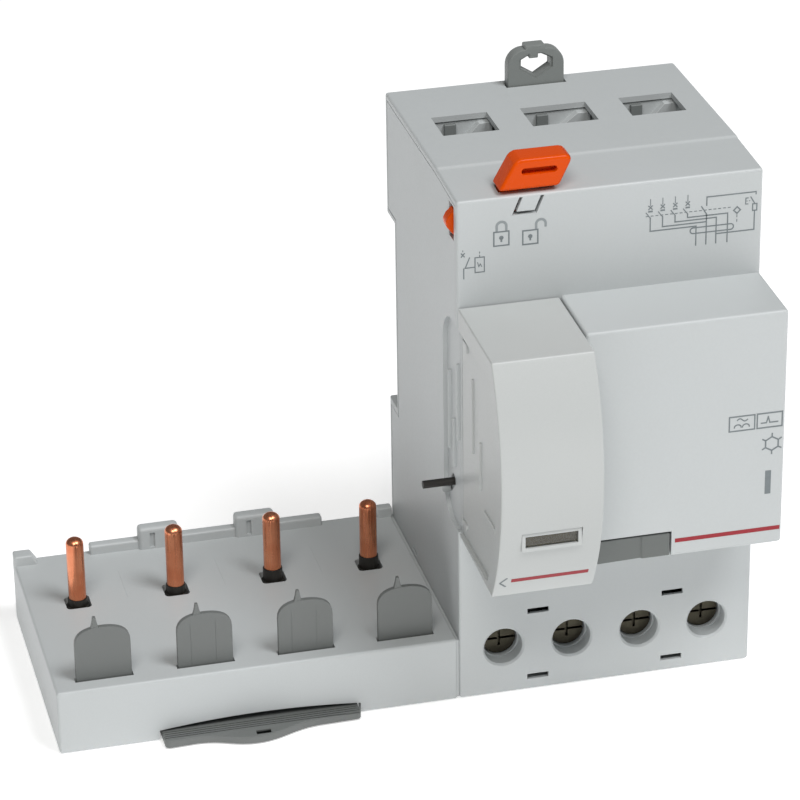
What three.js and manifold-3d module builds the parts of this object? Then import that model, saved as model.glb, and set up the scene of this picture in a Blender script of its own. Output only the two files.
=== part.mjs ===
// Add-on residual current block for modular breakers: a tray that carries a four-module
// breaker and a three-module block that holds the current transformer, the trip relay and
// the load terminals. Millimetres. While it is drawn, x runs to the right from the tray's
// left side, y back from the shoulder front, z up from the base; the last lines move the
// datum to the middle of the face that sits on the mounting rail.
import * as THREE from 'three';
import { mergeVertices } from 'three/addons/utils/BufferGeometryUtils.js';
import Module from 'manifold-3d';

const wasm = await Module();
wasm.setup();

// ---- driving dimensions -------------------------------------------------------------
const MODULE = 17.8;
const POLES = 4;
const BLOCK_MODULES = 3;
const TRAY_WIDTH = POLES * MODULE;
const WIDTH = TRAY_WIDTH + BLOCK_MODULES * MODULE;
const DEPTH = 49.5;
const WALL = 1.8;
const GAP = 0.3;

const TRAY_HEIGHT = 12.1;
const TOP_Z = 95.8;
const FRONT_TOP_Z = 95.1;
const CREASE_Y = 13.5;

const NOSE_Y = -15;
const NOSE_LOW_Z = 31.6;
const NOSE_HIGH_Z = 75.6;
const LEDGE_LOW_Z = 32.9;
const LEDGE_HIGH_Z = 76.0;
const NOSE_LEFT_X = TRAY_WIDTH + MODULE + 0.25;

const RAIL_SEAT_Y = 44;
const SEAT_PAD = { height: 0.4, z: [38.2, 69.2] };
const RAIL_LOW_Z = 36.1;
const RAIL_HIGH_Z = 72.7;
const RAIL_CENTRE_Z = 53.6;
const RAIL_FLANGE = 1.3;

const SIDE_COVER_INNER_X = TRAY_WIDTH + WALL;
const BLOCK_CENTRE_X = TRAY_WIDTH + (WIDTH - TRAY_WIDTH) / 2;
const CAVITY_X = [SIDE_COVER_INNER_X - 0.1, WIDTH - WALL];

const PIN_X = 8.9;
const PIN_Y = 30.7;
const PIN_TOP_Z = 25.2;
const PIN_RADIUS = 1.6;
const SCREW_X = 79.25;
const SCREW_PITCH = 12.45;
const SCREW_Z = 9.3;

const CORE = { x: 105.6, y: [17.5, 30.5], z: 50, outer: 15, inner: 9.6 };
const LEVER_PIVOT = { y: 18, z: 52 };
const TRIP_PIN = { y: 6.35, z: 40, radius: 0.7, left: 66.5 };

// ---- finishes -----------------------------------------------------------------------
function finish(color, roughness, metalness = 0) {
  return new THREE.MeshStandardMaterial({ color, roughness, metalness });
}

const FINISH = {
  housing: finish(0xc4c8c8, 0.5),
  hood: finish(0xc9cbc9, 0.45),
  grip: finish(0x7f8380, 0.5),
  orange: finish(0xe35b26, 0.4),
  black: finish(0x1a1712, 0.6),
  flag: finish(0xd9b45a, 0.5),
  lens: finish(0x8a877d, 0.15),
  board: finish(0x2f5a3c, 0.6),
  copper: finish(0xb8704f, 0.35, 1),
  steel: finish(0x8c8878, 0.4, 1),
  spring: finish(0x9a9a98, 0.35, 1),
  core: finish(0x3a3d42, 0.6),
};

// ---- shape helpers ------------------------------------------------------------------
function toSolid(geometry) {
  const bare = geometry.index ? geometry.clone() : mergeVertices(geometry);
  bare.deleteAttribute('normal');
  bare.deleteAttribute('uv');
  const merged = mergeVertices(bare, 1e-4);
  const mesh = new wasm.Mesh({
    numProp: 3,
    vertProperties: new Float32Array(merged.attributes.position.array),
    triVerts: new Uint32Array(merged.index.array),
  });
  return new wasm.Manifold(mesh);
}

function join(...solids) {
  return solids.reduce((whole, next) => whole.add(next));
}

function cut(solid, ...tools) {
  return tools.reduce((rest, tool) => rest.subtract(tool), solid);
}

function block([x0, x1], [y0, y1], [z0, z1]) {
  const geometry = new THREE.BoxGeometry(x1 - x0, y1 - y0, z1 - z0);
  geometry.translate((x0 + x1) / 2, (y0 + y1) / 2, (z0 + z1) / 2);
  return toSolid(geometry);
}

// A round bar between two stations along one axis; its centre is given by the other two.
function bar(axis, centre, radius, [from, to], sides = 24) {
  const geometry = new THREE.CylinderGeometry(radius, radius, to - from, sides);
  geometry.translate(0, (from + to) / 2, 0);
  if (axis === 'x') geometry.rotateZ(-Math.PI / 2);
  if (axis === 'z') geometry.rotateX(Math.PI / 2);
  const [u, v] = centre;
  if (axis === 'x') geometry.translate(0, u, v);
  if (axis === 'y') geometry.translate(u, 0, v);
  if (axis === 'z') geometry.translate(u, v, 0);
  return toSolid(geometry);
}

function extrude(shape, depth, curveSegments) {
  return new THREE.ExtrudeGeometry(shape, { depth, bevelEnabled: false, curveSegments });
}

function outline(points) {
  return new THREE.Shape(points.map(([u, v]) => new THREE.Vector2(u, v)));
}

// Prisms along each axis. The outline is given in the two other axes, in x, y, z order.
function prismX(shape, [from, to], curveSegments = 10) {
  const geometry = extrude(shape, to - from, curveSegments);
  geometry.rotateY(Math.PI / 2);
  geometry.rotateX(Math.PI / 2);
  return toSolid(geometry.translate(from, 0, 0));
}

function prismY(shape, [from, to], curveSegments = 10) {
  const geometry = extrude(shape, to - from, curveSegments);
  geometry.rotateX(Math.PI / 2);
  return toSolid(geometry.translate(0, to, 0));
}

function prismZ(shape, [from, to], curveSegments = 10) {
  return toSolid(extrude(shape, to - from, curveSegments).translate(0, 0, from));
}

function ring(axis, centre, outer, inner, span, sides = 32) {
  const reach = [span[0] - 1, span[1] + 1];
  return cut(bar(axis, centre, outer, span, sides), bar(axis, centre, inner, reach, sides));
}

function roundedBox([u0, u1], [v0, v1], radius) {
  const shape = new THREE.Shape();
  shape.moveTo(u0 + radius, v0);
  shape.lineTo(u1 - radius, v0);
  shape.absarc(u1 - radius, v0 + radius, radius, -Math.PI / 2, 0);
  shape.lineTo(u1, v1 - radius);
  shape.absarc(u1 - radius, v1 - radius, radius, 0, Math.PI / 2);
  shape.lineTo(u0 + radius, v1);
  shape.absarc(u0 + radius, v1 - radius, radius, Math.PI / 2, Math.PI);
  shape.lineTo(u0, v0 + radius);
  shape.absarc(u0 + radius, v0 + radius, radius, Math.PI, 1.5 * Math.PI);
  return shape;
}

// A route of straight runs joined by round bends, with a station only where it turns.
class BentRoute extends THREE.Curve {
  constructor(corners, bendRadius, bendSteps) {
    super();
    this.stations = [corners[0]];
    this.headings = [corners[1].clone().sub(corners[0]).normalize()];
    corners.slice(1, -1).forEach((corner, i) => {
      const back = corners[i].clone().sub(corner).normalize();
      const ahead = corners[i + 2].clone().sub(corner).normalize();
      const trim = bendRadius / Math.tan(back.angleTo(ahead) / 2);
      const start = back.clone().multiplyScalar(trim).add(corner);
      const end = ahead.clone().multiplyScalar(trim).add(corner);
      const bend = new THREE.QuadraticBezierCurve3(start, corner, end);
      for (let step = 0; step <= bendSteps; step += 1) {
        this.stations.push(bend.getPoint(step / bendSteps));
        this.headings.push(bend.getTangent(step / bendSteps).normalize());
      }
    });
    this.stations.push(corners[corners.length - 1]);
    this.headings.push(this.headings[this.headings.length - 1].clone());
  }

  getPointAt(u, target = new THREE.Vector3()) {
    return target.copy(this.stations[Math.round(u * (this.stations.length - 1))]);
  }

  getTangentAt(u, target = new THREE.Vector3()) {
    return target.copy(this.headings[Math.round(u * (this.headings.length - 1))]);
  }
}

function circle(radius, sides, phase = 0) {
  const points = Array.from({ length: sides }, (_, i) => {
    const turn = (2 * Math.PI * (i + phase)) / sides;
    return [radius * Math.cos(turn), radius * Math.sin(turn)];
  });
  return outline(points);
}

function wire(corners, radius, { bendRadius, bendSteps, sides, phase = 0 }) {
  const route = new BentRoute(corners.map((c) => new THREE.Vector3(...c)), bendRadius, bendSteps);
  const steps = route.stations.length - 1;
  const options = { steps, bevelEnabled: false, extrudePath: route };
  return toSolid(new THREE.ExtrudeGeometry(circle(radius, sides, phase), options));
}

class Helix extends THREE.Curve {
  constructor(radius, length, turns) {
    super();
    Object.assign(this, { radius, length, turns });
  }

  getPoint(t, target = new THREE.Vector3()) {
    const turn = 2 * Math.PI * this.turns * t;
    return target.set(this.radius * Math.cos(turn), this.radius * Math.sin(turn), this.length * t);
  }
}

// A coil spring along z from the origin; the wire's ends are cut square.
function coil(radius, wireRadius, length, turns) {
  const options = {
    steps: turns * 12,
    bevelEnabled: false,
    extrudePath: new Helix(radius, length, turns),
  };
  return new THREE.ExtrudeGeometry(circle(wireRadius, 6), options);
}

// ---- assembly -----------------------------------------------------------------------
const product = new THREE.Group();

function addPart(name, solid, material) {
  const { numProp, vertProperties, triVerts } = solid.getMesh();
  const geometry = new THREE.BufferGeometry();
  const positions = new Float32Array(vertProperties);
  geometry.setAttribute('position', new THREE.BufferAttribute(positions, numProp));
  geometry.setIndex(new THREE.BufferAttribute(new Uint32Array(triVerts), 1));
  geometry.computeVertexNormals();
  const mesh = new THREE.Mesh(geometry, material);
  mesh.name = name;
  product.add(mesh);
}

function perPole(build) {
  for (let pole = 0; pole < POLES; pole += 1) build(pole, `_${pole + 1}`);
}

const pinX = (pole) => PIN_X + pole * MODULE;
const screwX = (pole) => SCREW_X + pole * SCREW_PITCH;

// ---- block housing: body, nose, rail notch, latch channel, terminal shafts ----------
const BODY_PROFILE = [
  [0, 0],
  [DEPTH, 0],
  [DEPTH, RAIL_LOW_Z],
  [RAIL_SEAT_Y - SEAT_PAD.height, RAIL_LOW_Z],
  [RAIL_SEAT_Y - SEAT_PAD.height, RAIL_HIGH_Z],
  [DEPTH, RAIL_HIGH_Z],
  [DEPTH, TOP_Z],
  [CREASE_Y, TOP_Z],
  [0, FRONT_TOP_Z],
];
const NOSE_PROFILE = [
  [NOSE_Y, NOSE_LOW_Z],
  [0.5, LEDGE_LOW_Z],
  [0.5, LEDGE_HIGH_Z],
  [NOSE_Y, NOSE_HIGH_Z],
];
const TOP_WINDOWS = [
  [76, 86],
  [92, 103.8],
  [109.9, 119.7],
];
const WINDOW_Y = [26.9, 35.5];
const LATCH_X = [92.7, 103.1];
const LATCH_Y = [45.8, 48.4];
const CABLE_ENTRY_Y = [14.9, 20.8];
const HOOD_X = [TRAY_WIDTH + 0.1, TRAY_WIDTH + MODULE - 0.05];
const SIDE_RECESS = 0.8;

function hollow() {
  return join(
    block(CAVITY_X, [WALL, 42.2], [WALL, 93.4]),
    block(CAVITY_X, [42.1, DEPTH - WALL], [WALL, RAIL_LOW_Z - WALL]),
    block([CAVITY_X[0], LATCH_X[0] - 2.4], [42.1, DEPTH - WALL], [RAIL_HIGH_Z + WALL, 93.4]),
    block([LATCH_X[1] + 2.4, CAVITY_X[1]], [42.1, DEPTH - WALL], [RAIL_HIGH_Z + WALL, 93.4]),
    block([NOSE_LEFT_X + WALL, CAVITY_X[1]], [NOSE_Y + WALL, WALL + 0.1], [33.0, 74.0]),
  );
}

function latchChannel() {
  const wide = [LATCH_X[0] - GAP, LATCH_X[1] + GAP];
  const narrow = [wide[0] + 1.2, wide[1] - 1.2];
  const height = [RAIL_HIGH_Z - 0.1, TOP_Z + 0.1];
  return join(
    block(wide, [LATCH_Y[0] - GAP, LATCH_Y[1] + GAP], height),
    block(narrow, [LATCH_Y[1], DEPTH + 1], height),
  );
}

// The thin cut round three sides of the spring tongue under the locking lever.
function tongueCut() {
  const slant = (x, z) => x + (z - 91.6) * 0.42;
  const strip = (x0, x1, z0, z1) => prismY(
    outline([[slant(x0, z0), z0], [slant(x1, z0), z0], [slant(x1, z1), z1], [slant(x0, z1), z1]]),
    [-1, WALL + 0.2],
  );
  return join(strip(80.7, 81.3, 91.6, 94.7), strip(84.4, 85, 91.6, 94.7), strip(80.7, 85, 91.6, 92.2));
}

function smallSlots() {
  return [[85.5, 15.8], [110.1, 15.8], [85.5, 2.6], [110.1, 2.6]].map(([x, z]) => (
    block([x - 1.95, x + 1.95], [-1, 1.2], [z - 0.5, z + 0.5])
  ));
}

// Room in the left flank for the breaker's toggle side; it runs over body and cover alike.
function sideRecess() {
  const shape = new THREE.Shape();
  shape.moveTo(-1, LEDGE_LOW_Z + 0.3);
  shape.lineTo(4, LEDGE_LOW_Z + 0.3);
  shape.absarc(4, LEDGE_LOW_Z + 6.3, 6, -Math.PI / 2, 0);
  shape.lineTo(10, 66);
  shape.absarc(4, 66, 6, 0, Math.PI / 2);
  shape.lineTo(-1, 72);
  return prismX(shape, [TRAY_WIDTH - 1, TRAY_WIDTH + SIDE_RECESS], 6);
}

const COVER_INSET = 1.2;

function coverPanel(inset, [from, to]) {
  const low = inset;
  const back = DEPTH - inset;
  const seat = RAIL_SEAT_Y - inset;
  const points = [
    [inset, low],
    [back, low],
    [back, RAIL_LOW_Z - inset],
    [seat, RAIL_LOW_Z - inset],
    [seat, RAIL_HIGH_Z + inset],
    [back, RAIL_HIGH_Z + inset],
    [back, TOP_Z - inset],
    [CREASE_Y, TOP_Z - inset],
    [inset, FRONT_TOP_Z - inset],
  ];
  return prismX(outline(points), [from, to]);
}

function blockHousing() {
  const body = prismX(outline(BODY_PROFILE), [TRAY_WIDTH, WIDTH]);
  const nose = prismX(outline(NOSE_PROFILE), [NOSE_LEFT_X, WIDTH]);
  const lips = [[LATCH_X[0] - 9, LATCH_X[0] - 3], [LATCH_X[1] + 3, LATCH_X[1] + 9]].map((span) => (
    block(span, [RAIL_SEAT_Y + RAIL_FLANGE, DEPTH - 1], [RAIL_LOW_Z - 0.5, RAIL_LOW_Z + 1.2])
  ));
  const pad = block([TRAY_WIDTH + 2, WIDTH - 1.5], [RAIL_SEAT_Y - 1, RAIL_SEAT_Y], SEAT_PAD.z);
  const shell = cut(
    join(body, nose, pad, ...lips),
    hollow(),
    coverPanel(COVER_INSET - 0.1, [TRAY_WIDTH - 1, SIDE_COVER_INNER_X]),
    latchChannel(),
    sideRecess(),
    tongueCut(),
    ...smallSlots(),
    ...TOP_WINDOWS.map((span) => block(span, WINDOW_Y, [93, 97])),
    block([78.9, 88.6], [2.0, 5.1], [93, 97]),
    block([75.5, 85.5], [-1, 2], [38, 68]),
    block([91.25, 104.8], [NOSE_Y - 1, -8.8], [NOSE_LOW_Z - 1, 36.5]),
  );
  const springPeg = block([96.7, 99.1], [45, 47.9], [89.5, 91.2]);
  const buttonRib = cut(
    block([94, 102], [-3, -2], [32.9, 38]),
    bar('y', [98.1, 34.9], 1.35, [-4, -1]),
  );
  const shafts = [];
  const bores = [];
  perPole((pole) => {
    const centre = [screwX(pole), SCREW_Z];
    shafts.push(bar('y', centre, 4.4, [1.7, 4.8]));
    bores.push(bar('y', centre, 3.5, [-1, 2.8], 32));
    bores.push(bar('y', centre, 3.2, [2.7, 5], 32));
    bores.push(block([centre[0] - 3.6, centre[0] + 3.6], CABLE_ENTRY_Y, [-1, 2]));
  });
  return cut(join(shell, springPeg, buttonRib, ...shafts), ...bores);
}

// ---- side cover: closes the block's left side, with the ways out for hook and pin ---
function tripPinSlot() {
  const reach = Math.hypot(LEVER_PIVOT.y - TRIP_PIN.y, LEVER_PIVOT.z - TRIP_PIN.z);
  const start = Math.atan2(TRIP_PIN.z - LEVER_PIVOT.z, TRIP_PIN.y - LEVER_PIVOT.y);
  const places = Array.from({ length: 6 }, (_, i) => start + (i * 16 - 8) * (Math.PI / 180) / 4);
  return places.map((turn) => {
    const centre = [LEVER_PIVOT.y + reach * Math.cos(turn), LEVER_PIVOT.z + reach * Math.sin(turn)];
    return bar('x', centre, 1.15, [TRAY_WIDTH - 1, SIDE_COVER_INNER_X + 1], 12);
  });
}

function sideCover() {
  const through = [TRAY_WIDTH - 1, SIDE_COVER_INNER_X + 1];
  return cut(
    coverPanel(COVER_INSET + 0.1, [TRAY_WIDTH + 0.05, SIDE_COVER_INNER_X - 0.15]),
    sideRecess(),
    block(through, [2.0, 5.1], [87.2, 93.4]),
    block(through, [32.6, 47], [3.2, 9.4]),
    block([TRAY_WIDTH - 1, TRAY_WIDTH + 0.9], [30.2, 33.2], [12.5, 13.3]),
    ...tripPinSlot(),
  );
}

// ---- tray: the shelf that the breaker stands on -------------------------------------
const TRAY_CAVITY_TOP = 10.3;
const TRAY_RIGHT = TRAY_WIDTH - GAP;
const GRIP_X = [17.6, 53.2];
const PLATE_WIDTH = 9.8;
const PLATE_Y = [3.2, 4.2];

function gripArch() {
  const middle = (GRIP_X[0] + GRIP_X[1]) / 2;
  const shape = new THREE.Shape();
  shape.moveTo(GRIP_X[0] - 0.1, -1);
  shape.lineTo(GRIP_X[1] + 0.1, -1);
  shape.lineTo(GRIP_X[1] + 0.1, 2.0);
  shape.quadraticCurveTo(middle, 4.0, GRIP_X[0] - 0.1, 2.0);
  return prismY(shape, [-1, 2.5], 16);
}

function backRim() {
  const lug = (x) => cut(
    block([x, x + 7.5], [46.8, DEPTH], [TRAY_HEIGHT - 1, 16.4]),
    block([x + 2.1, x + 3.0], [46, 48.2], [TRAY_HEIGHT + 0.4, 15.4]),
  );
  const post = prismY(
    outline([[0, 11], [4.4, 11], [4.4, TRAY_HEIGHT], [3.2, 14], [0, 14]]),
    [46.6, DEPTH],
  );
  return [
    block([14, 57.5], [47.4, DEPTH], [TRAY_HEIGHT - 1, 13.9]),
    block([68.1, TRAY_RIGHT], [47.4, DEPTH], [TRAY_HEIGHT - 1, 14]),
    post,
    lug(23),
    lug(41),
  ];
}

function trayHousing() {
  const shell = cut(
    block([0, TRAY_RIGHT], [0, DEPTH], [0, TRAY_HEIGHT]),
    block([WALL, TRAY_RIGHT - WALL], [WALL, DEPTH - WALL], [-1, TRAY_CAVITY_TOP]),
    block([TRAY_RIGHT - WALL - 1, TRAY_RIGHT + 1], [32.6, 47], [3.2, 9.4]),
    gripArch(),
  );
  const openings = [];
  perPole((pole) => {
    const x = pinX(pole);
    const pinHole = roundedBox([x - 2.25, x + 2.25], [PIN_Y - 2.25, PIN_Y + 2.25], 0.8);
    openings.push(prismZ(pinHole, [TRAY_CAVITY_TOP - 1, TRAY_HEIGHT + 1], 3));
    const half = PLATE_WIDTH / 2 + 0.2;
    openings.push(block([x - half, x + half], [PLATE_Y[0] - 0.25, PLATE_Y[1] + 0.25], [9, 13]));
  });
  return cut(join(shell, ...backRim()), ...openings);
}

function trayFloor() {
  const ribs = [36.25, 39.75, 43.25].map((y) => block([3, 66], [y - 0.5, y + 0.5], [1.5, 4.1]));
  return join(block([2.1, TRAY_RIGHT - WALL - GAP], [8.4, 47.4], [0.1, 1.6]), ...ribs);
}

// ---- screw cover: four plates on one carrier that the ridged grip pulls down --------
const PLATE_SHOULDER_Z = 19;
const PLATE_TOP_Z = 22.2;

function screwCoverCarrier() {
  const bridge = block([3.8, 67.4], [2.3, 6.4], [7.2, 9.8]);
  const webs = block([20, 50.8], [2.5, 5.9], [1.6, 7.3]);
  const middle = (GRIP_X[0] + GRIP_X[1]) / 2;
  const tab = new THREE.Shape();
  tab.moveTo(GRIP_X[0] + 0.3, 6.4);
  tab.lineTo(GRIP_X[0] + 0.3, -2.6);
  tab.quadraticCurveTo(GRIP_X[0] + 0.5, -3.4, GRIP_X[0] + 1.5, -3.3);
  tab.lineTo(middle - 12, -3.1);
  tab.bezierCurveTo(middle - 7, -3.2, middle - 6, -5.6, middle - 1.5, -5.6);
  tab.bezierCurveTo(middle + 3, -5.6, middle + 5, -2.9, middle + 10, -2.6);
  tab.lineTo(GRIP_X[1] - 1, -2.4);
  tab.quadraticCurveTo(GRIP_X[1] - 0.3, -2.3, GRIP_X[1] - 0.3, -1.6);
  tab.lineTo(GRIP_X[1] - 0.3, 6.4);
  const plate = prismZ(tab, [0.1, 1.7], 8);
  const grooves = [-0.4, -1.2, -2].map((y) => block(
    [GRIP_X[0] - 1, GRIP_X[1] + 1],
    [y - 0.2, y + 0.2],
    [1.4, 2],
  ));
  const slot = block([middle - 1.3, middle + 1.3], [-4.9, -3.7], [-1, 3]);
  return cut(join(bridge, webs, plate), ...grooves, slot);
}

function screwCoverPlate(x) {
  const half = PLATE_WIDTH / 2;
  const shape = new THREE.Shape();
  shape.moveTo(x - half, 10.1);
  shape.lineTo(x + half, 10.1);
  shape.lineTo(x + half, PLATE_SHOULDER_Z);
  shape.bezierCurveTo(x + half, PLATE_TOP_Z - 0.6, x + 2.4, PLATE_TOP_Z, x, PLATE_TOP_Z);
  shape.bezierCurveTo(x - 2.4, PLATE_TOP_Z, x - half, PLATE_TOP_Z - 0.6, x - half, PLATE_SHOULDER_Z);
  const blade = prismY(shape, PLATE_Y, 10);
  const spike = prismY(
    outline([[x - 1.9, 21], [x - 0.4, 21], [x - 0.9, 24.2], [x - 1.5, 24.2]]),
    [PLATE_Y[0] + 0.1, PLATE_Y[1] - 0.1],
  );
  return join(blade, spike);
}

// ---- conductors: pin in the breaker, run under it, through the core, to a terminal --
const RUN_Z = 6;
const RUN_Y = [45, 41.5, 38, 34.5];
const TONGUE_Y = [13.3, 14.5];
const FAN_FROM_Z = [45, 42, 39, 36];
const FAN_TO_Z = [26, 24, 22, 22];

function loadConductor(pole) {
  const x = pinX(pole);
  const coreX = CORE.x - 6.6 + pole * 4.4;
  const runY = RUN_Y[pole];
  const riseY = Math.min(runY, 38);
  const frontY = (TONGUE_Y[0] + TONGUE_Y[1]) / 2;
  const corners = [
    [x, PIN_Y, PIN_TOP_Z],
    [x, PIN_Y, RUN_Z],
    [x, runY, RUN_Z],
    [coreX, runY, RUN_Z],
  ];
  if (riseY < runY) corners.push([coreX, runY, 28], [coreX, riseY, 28]);
  corners.push(
    [coreX, riseY, CORE.z],
    [coreX, frontY, CORE.z],
    [coreX, frontY, FAN_FROM_Z[pole]],
    [screwX(pole), frontY, FAN_TO_Z[pole]],
    [screwX(pole), frontY, 15],
  );
  const rod = wire(corners, PIN_RADIUS, { bendRadius: 1.8, bendSteps: 4, sides: 12, phase: 0.21 });
  const tongue = block([screwX(pole) - 3, screwX(pole) + 3], TONGUE_Y, [4.2, 17]);
  return join(rod, tongue);
}

function pinSleeve(pole) {
  return ring('z', [pinX(pole), PIN_Y], 2.1, 1.75, [8.3, 14.2], 20);
}

// ---- terminals ----------------------------------------------------------------------
const CAGE_Y = [11, 22.4];

function terminalScrew(pole) {
  const centre = [screwX(pole), SCREW_Z];
  const head = bar('y', centre, 3.0, [5.2, 7.2], 28);
  const shank = bar('y', centre, 2.35, [7.1, 12.9]);
  const blade = block([centre[0] - 3.2, centre[0] + 3.2], [4, 6.3], [SCREW_Z - 0.4, SCREW_Z + 0.4]);
  return cut(join(head, shank), blade);
}

function terminalCage(pole) {
  const x = screwX(pole);
  return cut(
    block([x - 4.9, x + 4.9], CAGE_Y, [4.4, 14.2]),
    block([x - 3.6, x + 3.6], [CAGE_Y[0] + 1.5, CAGE_Y[1] - 1.4], [0, 20]),
    bar('y', [x, SCREW_Z], 2.5, [CAGE_Y[0] - 1, CAGE_Y[0] + 2]),
  );
}

function terminalCarrier() {
  const ends = [SCREW_X - 6.05, SCREW_X + 3.5 * SCREW_PITCH - 0.3];
  const back = block(ends, [23, 24.4], [2.1, 20]);
  const walls = [0, 1, 2].map((gap) => {
    const x = SCREW_X + (gap + 0.5) * SCREW_PITCH;
    return block([x - 0.6, x + 0.6], [8, 23.1], [2.1, 20]);
  });
  return join(back, ...walls);
}

// ---- hood over the trip indicator ---------------------------------------------------
const HOOD_ARC = { y: 13.5, z: 53.7, radius: 41 };
const HOOD_LOW_Z = 31.9;
const HOOD_HIGH_Z = 75.5;

function hoodOutline(inset) {
  const radius = HOOD_ARC.radius - inset;
  const low = HOOD_LOW_Z + inset;
  const high = HOOD_HIGH_Z - inset;
  const lowTurn = Math.PI + Math.asin((HOOD_ARC.z - low) / radius);
  const highTurn = Math.PI - Math.asin((high - HOOD_ARC.z) / radius);
  const shape = new THREE.Shape();
  shape.moveTo(-0.3, LEDGE_LOW_Z - 0.1 + inset);
  shape.lineTo(-0.3, LEDGE_HIGH_Z - 0.1 - inset);
  shape.absarc(HOOD_ARC.y, HOOD_ARC.z, radius, highTurn, lowTurn, false);
  return shape;
}

function indicatorHood() {
  const inner = hoodOutline(1.6);
  const recessArc = { radius: HOOD_ARC.radius - 3.3 };
  const flank = new THREE.Shape();
  const turn = Math.asin(20.4 / recessArc.radius);
  flank.moveTo(0.5, LEDGE_LOW_Z + 0.3);
  flank.lineTo(0.5, 72);
  flank.absarc(HOOD_ARC.y, HOOD_ARC.z, recessArc.radius, Math.PI - turn * 0.85, Math.PI + turn, false);
  return cut(
    prismX(hoodOutline(0), HOOD_X, 24),
    prismX(inner, [SIDE_COVER_INNER_X + 0.4, HOOD_X[1] - 1.3], 24),
    block([SIDE_COVER_INNER_X + 0.4, HOOD_X[1] - 1.3], [-2, 1], [34.6, 74.3]),
    prismX(flank, [TRAY_WIDTH - 1, TRAY_WIDTH + SIDE_RECESS], 16),
    block([75.5, 85], [-30, -20], [43.1, 45.6]),
    block([75, 85.5], [-30, -26.1], [42.5, 46.2]),
  );
}

// ---- trip mechanism -----------------------------------------------------------------
function tripLever() {
  const pivot = [LEVER_PIVOT.y, LEVER_PIVOT.z];
  const arm = (points, span) => prismX(outline(points), span);
  const body = join(
    bar('x', pivot, 2.6, [74, 83.6]),
    arm([[5.2, 39.6], [6.9, 38.6], [19.4, 50.4], [17.2, 53]], [74, 75.8]),
    arm([[6.4, 49], [16.6, 50.2], [16.2, 53.4], [6.4, 50.2]], [79.1, 80.7]),
    arm([[16.2, 52.8], [18.8, 53.4], [18.3, 62], [16.7, 62]], [80.9, 83.6]),
  );
  const pin = bar('x', [TRIP_PIN.y, TRIP_PIN.z], TRIP_PIN.radius, [TRIP_PIN.left, 75.8], 16);
  return join(cut(body, bar('x', pivot, 1.4, [70, 90])), pin);
}

function mechanismFrame() {
  const plate = block([86.6, 87.8], [8, 40.5], [37, 69]);
  const foot = block([74.4, 87.8], [38.6, 40.5], [37, 42]);
  return cut(join(plate, foot), bar('x', [LEVER_PIVOT.y, LEVER_PIVOT.z], 1.45, [80, 90]));
}

function tripRelay() {
  const can = block([75.4, 86.2], [21.5, 37.8], [50, 66]);
  const bore = bar('y', [81.6, 60], 1.25, [20, 30]);
  return cut(can, bore);
}

function relayPlunger() {
  return join(bar('y', [81.6, 60], 1.05, [18.9, 29], 16), bar('y', [81.6, 60], 1.5, [18.9, 19.7], 16));
}

function tripFlag() {
  const fork = cut(
    block([78, 81.8], [3.6, 7.8], [46.6, 52.4]),
    block([77, 83], [5.2, 9], [48.2, 51]),
  );
  return join(
    block([76, 84.4], [-22.3, -21.3], [41, 50.4]),
    block([79.2, 80.6], [-21.4, 3.7], [47.6, 49.6]),
    fork,
  );
}

// ---- current transformer ------------------------------------------------------------
function coreRing(outerGrow, innerGrow, yGrow) {
  return ring(
    'y',
    [CORE.x, CORE.z],
    CORE.outer + outerGrow,
    CORE.inner - innerGrow,
    [CORE.y[0] - yGrow, CORE.y[1] + yGrow],
    40,
  );
}

function senseWinding() {
  const sector = prismY(
    outline([[CORE.x, CORE.z + 2], [CORE.x + 22, CORE.z + 20], [CORE.x - 22, CORE.z + 20]]),
    [CORE.y[0] - 5, CORE.y[1] + 5],
  );
  return cut(coreRing(1.2, 1.1, 1.2), coreRing(0.2, 0.2, 0.2)).intersect(sector);
}

function coreCradle() {
  const saddle = block([92.5, 118.7], [19.5, 28.5], [29.5, 42]);
  const seat = bar('y', [CORE.x, CORE.z], CORE.outer + GAP, [10, 40], 40);
  const foot = block([92.5, 118.7], [19.5, 31], [28, 29.6]);
  return join(cut(saddle, seat), foot);
}

// ---- electronics --------------------------------------------------------------------
function circuitBoard() {
  return block([91.8, 122.2], [-5.6, -4], [39, 73.4]);
}

function boardComponents() {
  return join(
    block([93, 121.4], [-3.7, -3.2], [42, 70]),
    bar('y', [98, 63], 4, [-3.3, 1.2], 20),
    bar('y', [108, 63], 3, [-3.3, 0.6], 20),
    block([112.6, 120.4], [-3.3, -0.6], [56, 68]),
    block([95, 104], [-3.3, -1.8], [48, 55]),
    block([108, 118], [-3.3, -2.2], [43, 49]),
  );
}

function testResistor() {
  return bar('x', [-10.4, 36.2], 1.5, [106.5, 115.5], 16);
}

function leadWire(corners) {
  return wire(corners, 0.45, { bendRadius: 1, bendSteps: 2, sides: 6 });
}

function boardLead() {
  return leadWire([[103, 32.2, 64.6], [103, 34.5, 64.6], [103, 34.5, 70.6], [103, 4, 70.6], [103, -3.7, 70.6]]);
}

function relayLead() {
  return leadWire([[110, -3.7, 71.6], [110, 35.5, 71.6], [80, 35.5, 71.6], [80, 35.5, 66.4]]);
}

// ---- test button --------------------------------------------------------------------
const BUTTON_X = [91.6, 104.5];
const BUTTON_CENTRE = { x: 98.1, z: 34.9 };

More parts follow.
